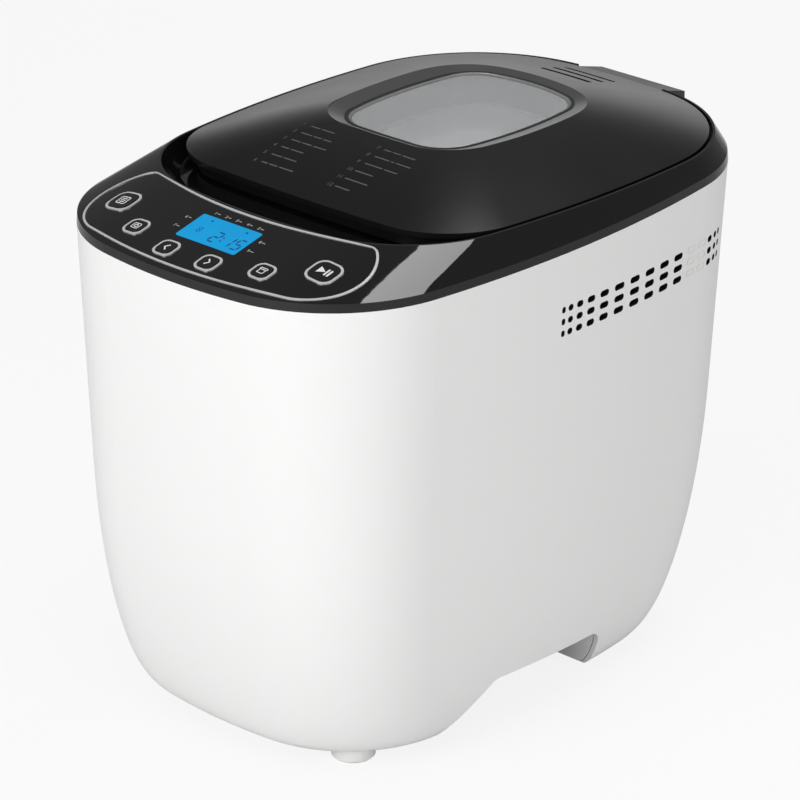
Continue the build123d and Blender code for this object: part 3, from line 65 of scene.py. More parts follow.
# Height of the vents' top row and the heights between which all vents lie, in metres
VENT_TOP = 0.2142
VENT_BAND = (VENT_TOP - 0.03, VENT_TOP + 0.01)

# Share of the casing's half width beyond which a face belongs to a side wall
SIDE_WALL = 0.85

# Closed vents in millimetres: rows, distance between rows, size, corner radius and line width
BLANK_ROWS = 3
BLANK_PITCH = 5.9
BLANK_SIZE = (6.6, 3.2)
BLANK_CORNER = 1.3
BLANK_LINE = 0.45

# Height in metres from which prints are dropped, and the gap under one as a share of its thickness
DROP_HEIGHT = 0.02
PRINT_GAP = 0.4

# Size of the built-in font over the height of its digits
FONT_SIZE = 1.4

# The control panel's own axes: across, up the slope and out of it
PANEL_OUT = -Vector(JOINTS["menu_press"]["axis"]).normalized()
PANEL_ACROSS = Vector((1, 0, 0))
PANEL_UP = PANEL_OUT.cross(PANEL_ACROSS)


def panel_matrix(origin):
    """Places a flat drawing in millimetres on the panel."""
    turn = Matrix((PANEL_ACROSS, PANEL_UP, PANEL_OUT)).transposed().to_4x4()
    return Matrix.Translation(origin) @ turn @ Matrix.Scale(MM, 4)


def face_centre(node):
    """Middle of a node's outermost face on the panel, in the model's frame."""
    points = [vert.co for vert in NODES[node].data.vertices]
    across = [point.dot(PANEL_ACROSS) for point in points]
    up = [point.dot(PANEL_UP) for point in points]
    out = max(point.dot(PANEL_OUT) for point in points)
    middle_across = (min(across) + max(across)) / 2
    middle_up = (min(up) + max(up)) / 2
    return PANEL_ACROSS * middle_across + PANEL_UP * middle_up + PANEL_OUT * out


# Values that a user would change


def colour_property(name, description, default):
    """A colour."""
    return FloatVectorProperty(
        name=name, description=description, subtype="COLOR", size=3, min=0, max=1, default=default)


def length_property(name, description, low, high, default, precision=2):
    """A length in metres, with its limits."""
    return FloatProperty(
        name=name, description=description, unit="LENGTH", min=low, max=high, precision=precision,
        default=default)


def power_property(name, description, default):
    """A lamp's power in watts."""
    return FloatProperty(name=name, description=description, unit="POWER", min=0, default=default)


class BreadMachineColours(bpy.types.PropertyGroup):
    """Colours of the visible finishes, one of them a painted lighter tone on the lid"""

    shell: colour_property("Shell", "White of the casing", (0.86, 0.86, 0.855))
    frame: colour_property("Top frame", "Black of the polished frame", (0.006, 0.006, 0.0065))
    lid: colour_property("Lid", "Charcoal of the matt lid", (0.004, 0.004, 0.0042))
    # A painted lighter tone on the lid's slope round the window, standing in for the light that falls on it
    dish: colour_property("Dish", "Charcoal of the slope round the window", (0.06, 0.06, 0.061))
    hinge: colour_property("Hinge cover", "Grey of the hinge cover", (0.03, 0.03, 0.031))
    foot: colour_property("Feet", "Grey of the feet", (0.8, 0.8, 0.79))
    backlight: colour_property("Backlight", "Blue of the lit display", (0.004, 0.3, 0.63))
    segments: colour_property("Segments", "Blue of the display's digits", (0.006, 0.035, 0.19))
    print: colour_property("Prints", "Grey of the prints on lid and panel", (0.42, 0.42, 0.42))


class BreadMachineSizes(bpy.types.PropertyGroup):
    """Sizes of what is printed on the machine"""

    ink: length_property("Ink", "Thickness of prints", 0.00002, 0.0004, 0.00007, precision=5)
    digit: length_property("Digit", "Height of the display's digits", 0.004, 0.014, 0.0078)
    number: length_property("Number", "Height of the numbers on the lid", 0.002, 0.006, 0.00238)
    lines: IntProperty(
        name="Lines", description="Lines in each column of the lid's list", min=1, max=8, default=6)
    line_pitch: length_property("Line pitch", "Distance between lines", 0.004, 0.01, 0.0066)
    blanks: FloatVectorProperty(
        name="Blanks", description="Where the columns of closed vents stand behind the middle",
        subtype="TRANSLATION", size=2, unit="LENGTH", default=(0.083, 0.0925))
    relief: length_property(
        "Relief", "Height of the closed vents' outlines", 0.00005, 0.0006, 0.00006, precision=5)


class BreadMachineStage(bpy.types.PropertyGroup):
    """Camera, surroundings and lamps"""

    lens: FloatProperty(
        name="Lens", description="Focal length of the camera", unit="CAMERA", min=20, max=400,
        default=187.09)
    ambient: FloatProperty(
        name="Ambient", description="Strength of the light from all round", min=0, max=2,
        default=0.36)
    mirrored: FloatProperty(
        name="Mirrored", description="How bright the surroundings show in gloss", min=0, max=2,
        default=0.19)
    key: power_property("Key", "Power of the large front lamp", 23.2)
    side: power_property("Side", "Power of the lamp at the right", 8)
    back: power_property("Back", "Power of the lamp behind", 2.3)
    strip: power_property("Strip", "Power of the lamp mirrored in the frame's corner", 4)
    top: power_property("Top", "Power of the lamp above", 2)


class BreadMachineLooks(bpy.types.PropertyGroup):
    """All the settings of the bread machine's looks"""

    colours: PointerProperty(type=BreadMachineColours)
    sizes: PointerProperty(type=BreadMachineSizes)
    stage: PointerProperty(type=BreadMachineStage)


def looks():
    """The settings of the scene at hand."""
    return bpy.context.scene.bread_machine_looks


# Node groups shared by the materials

VECTOR, FLOAT, COLOUR = "NodeSocketVector", "NodeSocketFloat", "NodeSocketColor"


def shared(name):
    """Lets a function build its node group on first use and hand out the same one later."""

    def once(build):
        @wraps(build)
        def group():
            return bpy.data.node_groups.get(name) or build(name)

        return group

    return once


def start_group(name, inputs, outputs):
    """A new shader node group with the given sockets, and its input and output nodes."""
    tree = bpy.data.node_groups.new(name, "ShaderNodeTree")
    for label, kind, value in inputs:
        socket = tree.interface.new_socket(name=label, in_out="INPUT", socket_type=kind)
        if value is not None:
            socket.default_value = value
    for label, kind in outputs:
        tree.interface.new_socket(name=label, in_out="OUTPUT", socket_type=kind)
    return tree, tree.nodes.new("NodeGroupInput").outputs, tree.nodes.new("NodeGroupOutput").inputs


def feed(tree, socket, value):
    """Links a socket to another one, or sets it to a value."""
    if isinstance(value, bpy.types.NodeSocket):
        tree.links.new(value, socket)
    else:
        socket.default_value = value


def math_node(tree, operation, first, second):
    """Result of a Math node on two sockets or numbers."""
    node = tree.nodes.new("ShaderNodeMath")
    node.operation = operation
    feed(tree, node.inputs[0], first)
    feed(tree, node.inputs[1], second)
    return node.outputs[0]


def vector_node(tree, operation, first, second=None):
    """Outputs of a Vector Math node on one or two sockets or vectors."""
    node = tree.nodes.new("ShaderNodeVectorMath")
    node.operation = operation
    feed(tree, node.inputs[0], first)
    if second is not None:
        feed(tree, node.inputs[1], second)
    return node.outputs


def noise_node(tree, place, scale, detail):
    """Result of a Noise texture on the given coordinates."""
    node = tree.nodes.new("ShaderNodeTexNoise")
    feed(tree, node.inputs["Vector"], place)
    feed(tree, node.inputs["Scale"], scale)
    feed(tree, node.inputs["Detail"], detail)
    return node.outputs["Fac"]


def range_node(tree, value, start, end, low=0.0, high=1.0, blend="LINEAR"):
    """Result of a Map Range node that takes start and end to low and high."""
    node = tree.nodes.new("ShaderNodeMapRange")
    node.interpolation_type = blend
    labels = ("Value", "From Min", "From Max", "To Min", "To Max")
    for label, source in zip(labels, (value, start, end, low, high)):
        feed(tree, node.inputs[label], source)
    return node.outputs["Result"]


@shared("Moulded grain")
def moulded_grain(name):
    """Fine cells and a slow swell, as a spark-eroded mould leaves them on plastic."""
    tree, given, result = start_group(
        name,
        [("Vector", VECTOR, None), ("Cell", FLOAT, 900.0), ("Swell", FLOAT, 0.15)],
        [("Height", FLOAT)],
    )
    cells = noise_node(tree, given["Vector"], given["Cell"], 2.0)
    slow = noise_node(tree, given["Vector"], 9.0, 2.0)
    swell = math_node(tree, "MULTIPLY", slow, given["Swell"])
    feed(tree, result["Height"], math_node(tree, "ADD", cells, swell))
    return tree


@shared("Handled gloss")
def handled_gloss(name):
    """Roughness that drifts with wiping and handling."""
    tree, given, result = start_group(
        name,
        [("Vector", VECTOR, None), ("Smooth", FLOAT, 0.1), ("Rough", FLOAT, 0.2)],
        [("Roughness", FLOAT)],
    )
    wide = noise_node(tree, given["Vector"], 22.0, 5.0)
    rough = range_node(tree, wide, 0.2, 0.8, given["Smooth"], given["Rough"], "SMOOTHSTEP")
    feed(tree, result["Roughness"], rough)
    return tree


@shared("Colour drift")
def colour_drift(name):
    """A base colour that wanders a little lighter and darker over the surface."""
    tree, given, result = start_group(
        name,
        [("Vector", VECTOR, None), ("Colour", COLOUR, None), ("Amount", FLOAT, 0.05),
         ("Scale", FLOAT, 30.0)],
        [("Colour", COLOUR)],
    )
    noise = noise_node(tree, given["Vector"], given["Scale"], 4.0)
    swing = math_node(tree, "SUBTRACT", noise, 0.5)
    swing = math_node(tree, "MULTIPLY", swing, given["Amount"])
    shade = tree.nodes.new("ShaderNodeHueSaturation")
    feed(tree, shade.inputs["Value"], math_node(tree, "ADD", swing, 1.0))
    feed(tree, shade.inputs["Color"], given["Colour"])
    feed(tree, result["Colour"], shade.outputs["Color"])
    return tree


@shared("Drawn lines")
def drawn_lines(name):
    """Long fine scratches of rolled or drawn metal, running along one axis."""
    tree, given, result = start_group(
        name,
        [("Vector", VECTOR, None), ("Stretch", VECTOR, (1.0, 1.0, 1.0)), ("Smooth", FLOAT, 0.2),
         ("Rough", FLOAT, 0.4)],
        [("Height", FLOAT), ("Roughness", FLOAT)],
    )
    place = vector_node(tree, "MULTIPLY", given["Vector"], given["Stretch"])["Vector"]
    lines = noise_node(tree, place, 1.0, 3.0)
    rough = range_node(tree, lines, 0.3, 0.7, given["Smooth"], given["Rough"])
    feed(tree, result["Height"], lines)
    feed(tree, result["Roughness"], rough)
    return tree


@shared("Inner side")
def inner_side(name):
    """Mask of the faces that look towards an upright axis and no further down than a limit."""
    tree, given, result = start_group(
        name,
        [("Vector", VECTOR, None), ("Normal", VECTOR, None), ("Axis", VECTOR, (0.0, 0.0, 0.0)),
         ("Start", FLOAT, -0.3), ("Full", FLOAT, -0.55), ("Lowest", FLOAT, -2.0)],
        [("Mask", FLOAT)],
    )
    away = vector_node(tree, "SUBTRACT", given["Vector"], given["Axis"])["Vector"]
    flat = vector_node(tree, "MULTIPLY", away, (1, 1, 0))["Vector"]
    outward = vector_node(tree, "NORMALIZE", flat)["Vector"]
    facing = vector_node(tree, "DOT_PRODUCT", outward, given["Normal"])["Value"]
    inward = range_node(tree, facing, given["Start"], given["Full"])
    turned = tree.nodes.new("ShaderNodeSeparateXYZ")
    feed(tree, turned.inputs["Vector"], given["Normal"])
    upward = math_node(tree, "GREATER_THAN", turned.outputs["Z"], given["Lowest"])
    feed(tree, result["Mask"], math_node(tree, "MULTIPLY", inward, upward))
    return tree


@shared("Vent throats")
def vent_throats(name):
    """Mask of the walls of the vents through the casing's sides."""
    tree, given, result = start_group(
        name,
        [("Vector", VECTOR, None), ("Normal", VECTOR, None), ("Aside", FLOAT, 0.1),
         ("Foot", FLOAT, 0.0), ("Top", FLOAT, 0.1)],
        [("Mask", FLOAT)],
    )
    spot = tree.nodes.new("ShaderNodeSeparateXYZ")
    turned = tree.nodes.new("ShaderNodeSeparateXYZ")
    feed(tree, spot.inputs["Vector"], given["Vector"])
    feed(tree, turned.inputs["Vector"], given["Normal"])
    aside = math_node(tree, "ABSOLUTE", spot.outputs["X"], 0)
    sideways = math_node(tree, "ABSOLUTE", turned.outputs["X"], 0)
    mask = math_node(tree, "GREATER_THAN", aside, given["Aside"])
    for test in (
        math_node(tree, "LESS_THAN", sideways, 0.5),
        math_node(tree, "GREATER_THAN", spot.outputs["Z"], given["Foot"]),
        math_node(tree, "LESS_THAN", spot.outputs["Z"], given["Top"]),
    ):
        mask = math_node(tree, "MULTIPLY", mask, test)
    feed(tree, result["Mask"], mask)
    return tree


# Materials


@dataclass
class Finish:
    """What sets one material apart; depth is in metres, cell and patch are scales of noise."""

    colour: tuple
    smooth: float
    rough: float
    metallic: float = 0.0
    cell: float = 900.0
    swell: float = 0.15
    depth: float = 0.00002
    drift: float = 0.05
    patch: float = 30.0
    specular: float = 0.5
    coat: float = 0.0
    stretch: tuple = None


def new_material(name):
    """An empty node material with its shader and Object coordinates."""
    material = bpy.data.materials.new(name)
    material.use_nodes = True
    tree = material.node_tree
    tree.nodes.clear()
    output = tree.nodes.new("ShaderNodeOutputMaterial")
    shader = tree.nodes.new("ShaderNodeBsdfPrincipled")
    feed(tree, output.inputs["Surface"], shader.outputs["BSDF"])
    place = tree.nodes.new("ShaderNodeTexCoord").outputs["Object"]
    return material, tree, shader.inputs, place


def place_group(tree, group, place, **values):
    """Outputs of a node group put on the given coordinates with its own values."""
    node = tree.nodes.new("ShaderNodeGroup")
    node.node_tree = group
    feed(tree, node.inputs["Vector"], place)
    for label, value in values.items():
        feed(tree, node.inputs[label], value)
    return node.outputs


def finish_material(name, finish):
    """A moulded, cast or rolled material from the shared groups."""
    material, tree, shader, place = new_material(name)
    colour = place_group(
        tree, colour_drift(), place, Colour=(*finish.colour, 1), Amount=finish.drift,
        Scale=finish.patch)
    feed(tree, shader["Base Color"], colour["Colour"])
    limits = {"Smooth": finish.smooth, "Rough": finish.rough}
    if finish.stretch:
        gloss = place_group(tree, drawn_lines(), place, Stretch=finish.stretch, **limits)
        height = gloss["Height"]
    else:
        gloss = place_group(tree, handled_gloss(), place, **limits)
        grain = place_group(tree, moulded_grain(), place, Cell=finish.cell, Swell=finish.swell)
        height = grain["Height"]
    feed(tree, shader["Roughness"], gloss["Roughness"])
    bump = tree.nodes.new("ShaderNodeBump")
    feed(tree, bump.inputs["Strength"], 1.0)
    feed(tree, bump.inputs["Distance"], finish.depth)
    feed(tree, bump.inputs["Height"], height)
    feed(tree, shader["Normal"], bump.outputs["Normal"])
    feed(tree, shader["Metallic"], finish.metallic)
    feed(tree, shader["Specular IOR Level"], finish.specular)
    feed(tree, shader["Coat Weight"], finish.coat)
    feed(tree, shader["Coat Roughness"], 0.03)
    return material


def tint_faces(material, group, colour, **values):
    """Gives the faces that a mask picks another colour; here it paints shade into the casing and a lighter tone
    onto the lid's slope.
    """
    tree = material.node_tree
    shader = next(node for node in tree.nodes if node.type == "BSDF_PRINCIPLED")
    place = next(node for node in tree.nodes if node.type == "TEX_COORD").outputs["Object"]
    normal = tree.nodes.new("ShaderNodeNewGeometry").outputs["Normal"]
    mask = place_group(tree, group, place, Normal=normal, **values)["Mask"]
    mix = tree.nodes.new("ShaderNodeMix")
    mix.data_type = "RGBA"
    feed(tree, mix.inputs["Factor"], mask)
    feed(tree, mix.inputs["A"], shader.inputs["Base Color"].links[0].from_socket)
    feed(tree, mix.inputs["B"], (*colour, 1))
    feed(tree, shader.inputs["Base Color"], mix.outputs["Result"])


def pane_material(name, tint, haze):
    """Glass with a milky tint and a faint drift of haze on it."""
    material, tree, shader, place = new_material(name)
    feed(tree, shader["Base Color"], (*tint, 1))
    feed(tree, shader["Transmission Weight"], 0.82)
    feed(tree, shader["IOR"], 1.5)
    gloss = place_group(tree, handled_gloss(), place, Smooth=0.01, Rough=haze)
    feed(tree, shader["Roughness"], gloss["Roughness"])
    return material


def backlit_material(name, colour):
    """A lit display: blue that is a little brighter in some places than in others."""
    material, tree, shader, place = new_material(name)
    tint = place_group(
        tree, colour_drift(), place, Colour=(*colour, 1), Amount=0.2, Scale=45.0)
    feed(tree, shader["Emission Color"], tint["Colour"])
    feed(tree, shader["Base Color"], (0.004, 0.03, 0.06, 1))
    feed(tree, shader["Emission Strength"], 1.0)
    feed(tree, shader["Specular IOR Level"], 0.12)
    gloss = place_group(tree, handled_gloss(), place, Smooth=0.25, Rough=0.4)
    feed(tree, shader["Roughness"], gloss["Roughness"])
    return material


def slot_finishes():
    """Finish of every material slot of the record that takes a plain built-up material."""
    colours = looks().colours
    return {
        "shell_white": Finish(
            tuple(colours.shell), 0.29, 0.31, cell=1400, swell=0, depth=0.0000015, drift=0.006,
            patch=8, specular=0.4),
        "foot_grey": Finish(
            tuple(colours.foot), 0.6, 0.75, cell=1200, depth=0.00003, drift=0.08),
        "frame_black": Finish(
            tuple(colours.frame), 0.03, 0.07, cell=300, depth=0.000004, drift=0.1),
        "lid_charcoal": Finish(
            tuple(colours.lid), 0.29, 0.34, cell=2600, depth=0.000012, drift=0.08, specular=0.35),
        "hinge_grey": Finish(
            tuple(colours.hinge), 0.42, 0.5, cell=2200, drift=0.08),
        "bright_trim": Finish(
            (0.8, 0.81, 0.82), 0.14, 0.24, metallic=0.5, cell=700, depth=0.000004),
        "button_face": Finish(
            (0.008, 0.008, 0.009), 0.06, 0.12, cell=500, depth=0.000004, drift=0.1),
        "display_body": Finish((0.02, 0.02, 0.021), 0.45, 0.6),
        "board_green": Finish(
            (0.012, 0.09, 0.04), 0.28, 0.4, cell=500, drift=0.3, patch=160, coat=0.3),
        "fixing_steel": Finish(
            (0.56, 0.56, 0.57), 0.25, 0.4, metallic=1.0, stretch=(300, 300, 2400), depth=0.00001,
            drift=0.1),
        "sheet_steel": Finish(
            (0.6, 0.6, 0.605), 0.24, 0.42, metallic=1.0, stretch=(60, 60, 2600), depth=0.000012,
            drift=0.12),
        "heater_sheath": Finish(
            (0.07, 0.062, 0.056), 0.4, 0.65, metallic=0.6, cell=700, depth=0.00004, drift=0.6,
            patch=90),
        "white_ceramic": Finish(
            (0.78, 0.75, 0.69), 0.5, 0.65, cell=1300, depth=0.00003, drift=0.08),
        "bearing_bronze": Finish(
            (0.55, 0.36, 0.14), 0.28, 0.45, metallic=1.0, cell=1800, depth=0.00003, drift=0.25),
        "black_nylon": Finish((0.012, 0.012, 0.013), 0.4, 0.55),
        "cast_alloy": Finish(
            (0.62, 0.63, 0.64), 0.36, 0.52, metallic=1.0, cell=600, depth=0.00005, drift=0.15),
        "coated_pan": Finish(
            (0.026, 0.026, 0.028), 0.32, 0.46, metallic=0.3, cell=1500, drift=0.5, patch=900),
        "black_rubber": Finish((0.016, 0.016, 0.016), 0.6, 0.8, cell=1500, depth=0.00003),
    }


def slot_material(slot):
    """The finish of one of the record's slots, made on first use."""
    name = f"{slot}_finish"
    if name in bpy.data.materials:
        return bpy.data.materials[name]
    if slot == "window_pane":
        return pane_material(name, (0.92, 0.93, 0.94), 0.05)
    if slot == "display_window":
        return backlit_material(name, looks().colours.backlight)
    material = finish_material(name, slot_finishes()[slot])
    if slot == "shell_white":
        # Painted shade: the white casing's inner walls and its vents' walls get a near black colour where shade
        # falls
        shade = (0.02, 0.02, 0.02)
        foot, top = VENT_BAND
        aside = SIDE_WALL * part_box("outer_shell")[1].x
        # Painted shade on the inner walls of the casing
        tint_faces(material, inner_side(), shade)
        # Painted shade on the walls of the vents
        tint_faces(material, vent_throats(), shade, Aside=aside, Foot=foot, Top=top)
    if slot == "lid_charcoal":
        # The slope round the window is painted lighter than the rest of the lid, in place of the light it catches
        low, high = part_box("window_gasket")
        tint_faces(
            material, inner_side(), looks().colours.dish, Axis=(low + high) / 2, Start=-0.1,
            Full=-0.2, Lowest=0.2)
    return material


def dress(*nodes):
    """Gives CAD nodes the material of their slot."""
    for node in nodes:
        mesh = NODES[node].data
        mesh.materials.clear()
        mesh.materials.append(slot_material(SLOT_OF[node]))


def ink_material(name, colour, rough=0.5):
    """Print on a moulding, with a slightly uneven lay."""
    if name in bpy.data.materials:
        return bpy.data.materials[name]
    finish = Finish(tuple(colour), rough, rough + 0.15, cell=2500, depth=0.00001, drift=0.15)
    return finish_material(name, finish)


# Flat drawings in millimetres, laid on a surface as thin prints


def bar(mesh, centre, size, angle=0.0):
    """A rectangle of a drawing."""
    place = Matrix.Translation((*centre, 0)) @ Matrix.Rotation(angle, 4, "Z")
    place = place @ Matrix.Diagonal((*size, 1, 1))
    bmesh.ops.create_grid(mesh, x_segments=1, y_segments=1, size=0.5, matrix=place)


def disc(mesh, centre, radius, segments=20, angle=0.0, squash=1.0):
    """A round or many-sided spot of a drawing."""
    place = Matrix.Translation((*centre, 0)) @ Matrix.Rotation(angle, 4, "Z")
    place = place @ Matrix.Diagonal((radius, radius * squash, 1, 1))
    bmesh.ops.create_circle(mesh, cap_ends=True, segments=segments, radius=1.0, matrix=place)


def hollow(mesh, faces, width):
    """Turns filled faces into lines of a width along their edges."""
    inside = bmesh.ops.inset_region(
        mesh, faces=faces, thickness=width, use_boundary=True, use_even_offset=True)
    rim = set(inside["faces"])
    middle = [face for face in mesh.faces if face in faces and face not in rim]
    bmesh.ops.delete(mesh, geom=middle, context="FACES")


def rounded_outline(mesh, centre, size, corner, width):
    """A rounded rectangle drawn as a line."""
    before = set(mesh.faces)
    bar(mesh, centre, size)
    faces = [face for face in mesh.faces if face not in before]
    corners = [vert for face in faces for vert in face.verts]
    bmesh.ops.bevel(
        mesh, geom=corners, offset=corner, affect="VERTICES", segments=4, profile=0.5, material=-1)
    hollow(mesh, [face for face in mesh.faces if face not in before], width)


def surface(node):
    """Search tree over a CAD node's faces at rest."""
    mesh = NODES[node].data
    points = [vert.co for vert in mesh.vertices]
    return BVHTree.FromPolygons(points, [tuple(face.vertices) for face in mesh.polygons])


def sort_faces(mesh):
    """Puts the faces in an order that is the same on every run."""
    mesh.verts.index_update()
    count = len(mesh.verts)

    def rank(face):
        number = len(face.verts)
        for index in sorted(vert.index for vert in face.verts):
            number = number * count + index
        return number

    mesh.faces.sort(key=rank)


def lay(mesh, name, place, node, out, body, material, thick=None):
    """Lays a flat drawing on a node as a thin closed print or relief that rides on a body."""
    ink = thick or looks().sizes.ink
    bmesh.ops.triangulate(mesh, faces=mesh.faces[:])
    bmesh.ops.transform(mesh, matrix=place, verts=mesh.verts)
    carrier = surface(node)
    for vert in mesh.verts:
        hit = carrier.ray_cast(vert.co + out * DROP_HEIGHT, -out)[0]
        if hit is None:
            raise RuntimeError(f"{name} reaches past {node}")
        vert.co = hit + out * ink * PRINT_GAP
    lifted = bmesh.ops.extrude_face_region(mesh, geom=mesh.faces[:], use_keep_orig=True)
    top = [item for item in lifted["geom"] if isinstance(item, bmesh.types.BMVert)]
    bmesh.ops.translate(mesh, vec=out * ink, verts=top)
    bmesh.ops.recalc_face_normals(mesh, faces=mesh.faces[:])
    sort_faces(mesh)
    return add_piece(mesh, name, body, material)


def add_piece(mesh, name, body, material):
    """Makes an object of a finished bmesh and lets it ride on a body."""
    data = bpy.data.meshes.new(name)
    mesh.to_mesh(data)
    mesh.free()
    data.materials.append(material)
    piece = bpy.data.objects.new(name, data)
    bpy.context.scene.collection.objects.link(piece)
    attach(piece, body)
    return piece


def number_drawing(mesh, text, height, corner):
    """Adds plain numbers to a drawing, their lower left corner at a point, in millimetres."""
    curve = bpy.data.curves.new("number", "FONT")
    curve.body = text
    curve.size = height * FONT_SIZE
    curve.resolution_u = 2
    holder = bpy.data.objects.new("number", curve)
    shape = bpy.data.meshes.new_from_object(holder)
    shape.transform(Matrix.Translation((*corner, 0)))
    mesh.from_mesh(shape)
    bpy.data.objects.remove(holder)
    bpy.data.curves.remove(curve)
    bpy.data.meshes.remove(shape)


# Operators: one for each piece or group of like pieces


class BREADMACHINE_OT_casing(bpy.types.Operator):
    """Finishes the casing, its base, feet and cord gland"""

    bl_idname = "bread_machine.casing"
    bl_label = "Casing"

    def execute(self, context):
        dress("outer_shell", "base_plate", "feet", "base_screws", "cord_gland")
        low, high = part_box("outer_shell")
        middle = (low.y + high.y) / 2
        for side, name in ((1, "right"), (-1, "left")):
            drawing = bmesh.new()
            for row in range(BLANK_ROWS):
                for y in looks().sizes.blanks:
                    spot = (side * y / MM, -row * BLANK_PITCH)
                    rounded_outline(drawing, spot, BLANK_SIZE, BLANK_CORNER, BLANK_LINE)
            out = Vector((side, 0, 0))
            along = Vector((0, side, 0))
            turn = Matrix((along, (0, 0, 1), out)).transposed().to_4x4()
            place = Matrix.Translation((side * high.x, middle, VENT_TOP))
            place = place @ turn @ Matrix.Scale(MM, 4)
            lay(drawing, f"vent_blanks_{name}", place, "outer_shell", out, "chassis",
                slot_material("shell_white"), thick=looks().sizes.relief)
        return {"FINISHED"}


class BREADMACHINE_OT_top_frame(bpy.types.Operator):
    """Finishes the polished top frame with its trim, bezels and buttons"""

    bl_idname = "bread_machine.top_frame"
    bl_label = "Top frame and buttons"

    def execute(self, context):
        dress("top_frame", "panel_trim", "button_bezels", "hinge_pin")
        dress(*(f"{name}_button" for name in BUTTON_ICONS))
        return {"FINISHED"}


SEGMENTS = {
    "0": "abcdef", "1": "bc", "2": "abged", "3": "abgcd", "4": "fgbc",
    "5": "afgcd", "6": "afgedc", "7": "abc", "8": "abcdefg", "9": "abcdfg",
}


def segment_digit(mesh, digit, corner, height):
    """Adds a slanted seven-segment digit to a drawing."""
    width = height * 0.5
    long, thick = width * 0.92, height * 0.1
    bars = {
        "a": (0.5, 1.0, 0), "g": (0.5, 0.5, 0), "d": (0.5, 0.0, 0),
        "f": (0.0, 0.75, 1), "b": (1.0, 0.75, 1), "e": (0.0, 0.25, 1), "c": (1.0, 0.25, 1),
    }
    for letter in SEGMENTS[digit]:
        x, y, upright = bars[letter]
        lean = 0.1 * height * y
        spot = (corner[0] + x * width + lean, corner[1] + y * height)
        angle = math.radians(84) if upright else 0.0
        disc(mesh, spot, long / 2, segments=6, angle=angle, squash=thick / long * 1.15)


class BREADMACHINE_OT_display(bpy.types.Operator):
    """Lights the display and draws its digits and arrows"""

    bl_idname = "bread_machine.display"
    bl_label = "Display"

    def execute(self, context):
        dress("display_lens", "display_module", "control_board", "button_switches", "board_screws")
        height = looks().sizes.digit / MM
        drawing = bmesh.new()
        pitch = height * 0.78
        start = -1.5
        for step, digit in ((0, "2"), (1.35, "1"), (2.35, "5")):
            segment_digit(drawing, digit, (start + step * pitch, -6.6), height)
        for spot in (-4.2, -1.6):
            disc(drawing, (start + 1.05 * pitch, spot), 0.5, segments=10)
        segment_digit(drawing, "8", (-12.0, -3.2), height * 0.45)
        for x in (-10.5, 11.5):
            disc(drawing, (x, 6.6), 1.0, segments=3)
        material = ink_material("display_segments", looks().colours.segments, 0.3)
        place = panel_matrix(face_centre("display_lens"))
        lay(drawing, "display_digits", place, "display_lens", PANEL_OUT, "chassis", material)
        return {"FINISHED"}


# Line widths of the signs on the buttons, in millimetres
FINE_LINE = 0.45
BROAD_LINE = 0.55


def draw_menu(mesh):
    """A list on a card."""
    rounded_outline(mesh, (0, 0), (6.0, 6.0), 1.0, BROAD_LINE)
    for y in (1.3, 0.0, -1.3):
        bar(mesh, (0, y), (3.2, BROAD_LINE))


def draw_colour(mesh):
    """A round spot in a frame, for the crust's colour."""
    rounded_outline(mesh, (0, 0), (4.6, 4.2), 0.9, FINE_LINE)
    before = set(mesh.faces)
    disc(mesh, (0, 0), 1.2, segments=20)
    hollow(mesh, [face for face in mesh.faces if face not in before], FINE_LINE)


def draw_chevron(mesh, way):
    """An arrow head to the left (-1) or the right (1)."""
    for side in (-1, 1):
        bar(mesh, (0, side * 0.95), (0.7, 2.9), math.radians(way * side * 42))


def draw_loaf(mesh):
    """A loaf in outline: a tin with two rounded tops."""
    rounded_outline(mesh, (0, -0.5), (3.8, 3.2), 0.5, FINE_LINE)
    rounded_outline(mesh, (0, 1.4), (4.7, 1.6), 0.75, FINE_LINE)


def draw_start(mesh):
    """A start triangle with two pause bars."""
    disc(mesh, (-1.7, 0), 2.6, segments=3, angle=math.radians(-90))
    for x in (1.7, 3.4):
        bar(mesh, (x, 0), (0.95, 4.6))


BUTTON_ICONS = {
    "menu": draw_menu,
    "colour": draw_colour,
    "minus": lambda mesh: draw_chevron(mesh, -1),
    "plus": lambda mesh: draw_chevron(mesh, 1),
    "weight": draw_loaf,
    "start": draw_start,
}


class BREADMACHINE_OT_icons(bpy.types.Operator):
    """Prints a plain sign on each button"""

    bl_idname = "bread_machine.icons"
    bl_label = "Button signs"

    def execute(self, context):
        material = ink_material("button_ink", (0.72, 0.72, 0.73), 0.3)
        for name, draw in BUTTON_ICONS.items():
            drawing = bmesh.new()
            draw(drawing)
            node = f"{name}_button"
            place = panel_matrix(face_centre(node))
            lay(drawing, f"{name}_sign", place, node, PANEL_OUT, f"{name}_key", material)
        return {"FINISHED"}


# Print round the display, in millimetres from its middle: height of the numbers, width of the
# strokes, how far up they stand, and for each group its places and its strokes' shift and length
PANEL_NUMBER = 1.9
PANEL_STROKE = 0.35
STROKE_RISE = 0.9
PANEL_GROUPS = (
    (((-14.5, 11.4), (-7.6, 11.4), (-0.7, 11.4), (6.2, 11.4), (13.1, 11.4)), 2.6, 1.9),
    (((-25.5, 3.2), (-25.5, -4.6), (21.8, 3.2), (21.8, -4.6)), 2.7, 2.0),
)


class BREADMACHINE_OT_panel_print(bpy.types.Operator):
    """Prints plain numbers and short strokes round the display"""

    bl_idname = "bread_machine.panel_print"
    bl_label = "Panel print"

    def execute(self, context):
        drawing = bmesh.new()
        number = 0
        for spots, shift, length in PANEL_GROUPS:
            for x, y in spots:
                number += 1
                number_drawing(drawing, str(number), PANEL_NUMBER, (x, y))
                bar(drawing, (x + shift, y + STROKE_RISE), (length, PANEL_STROKE))
        material = ink_material("panel_ink", looks().colours.print)
        place = panel_matrix(face_centre("display_lens"))
        lay(drawing, "panel_numbers", place, "top_frame", PANEL_OUT, "chassis", material)
        return {"FINISHED"}


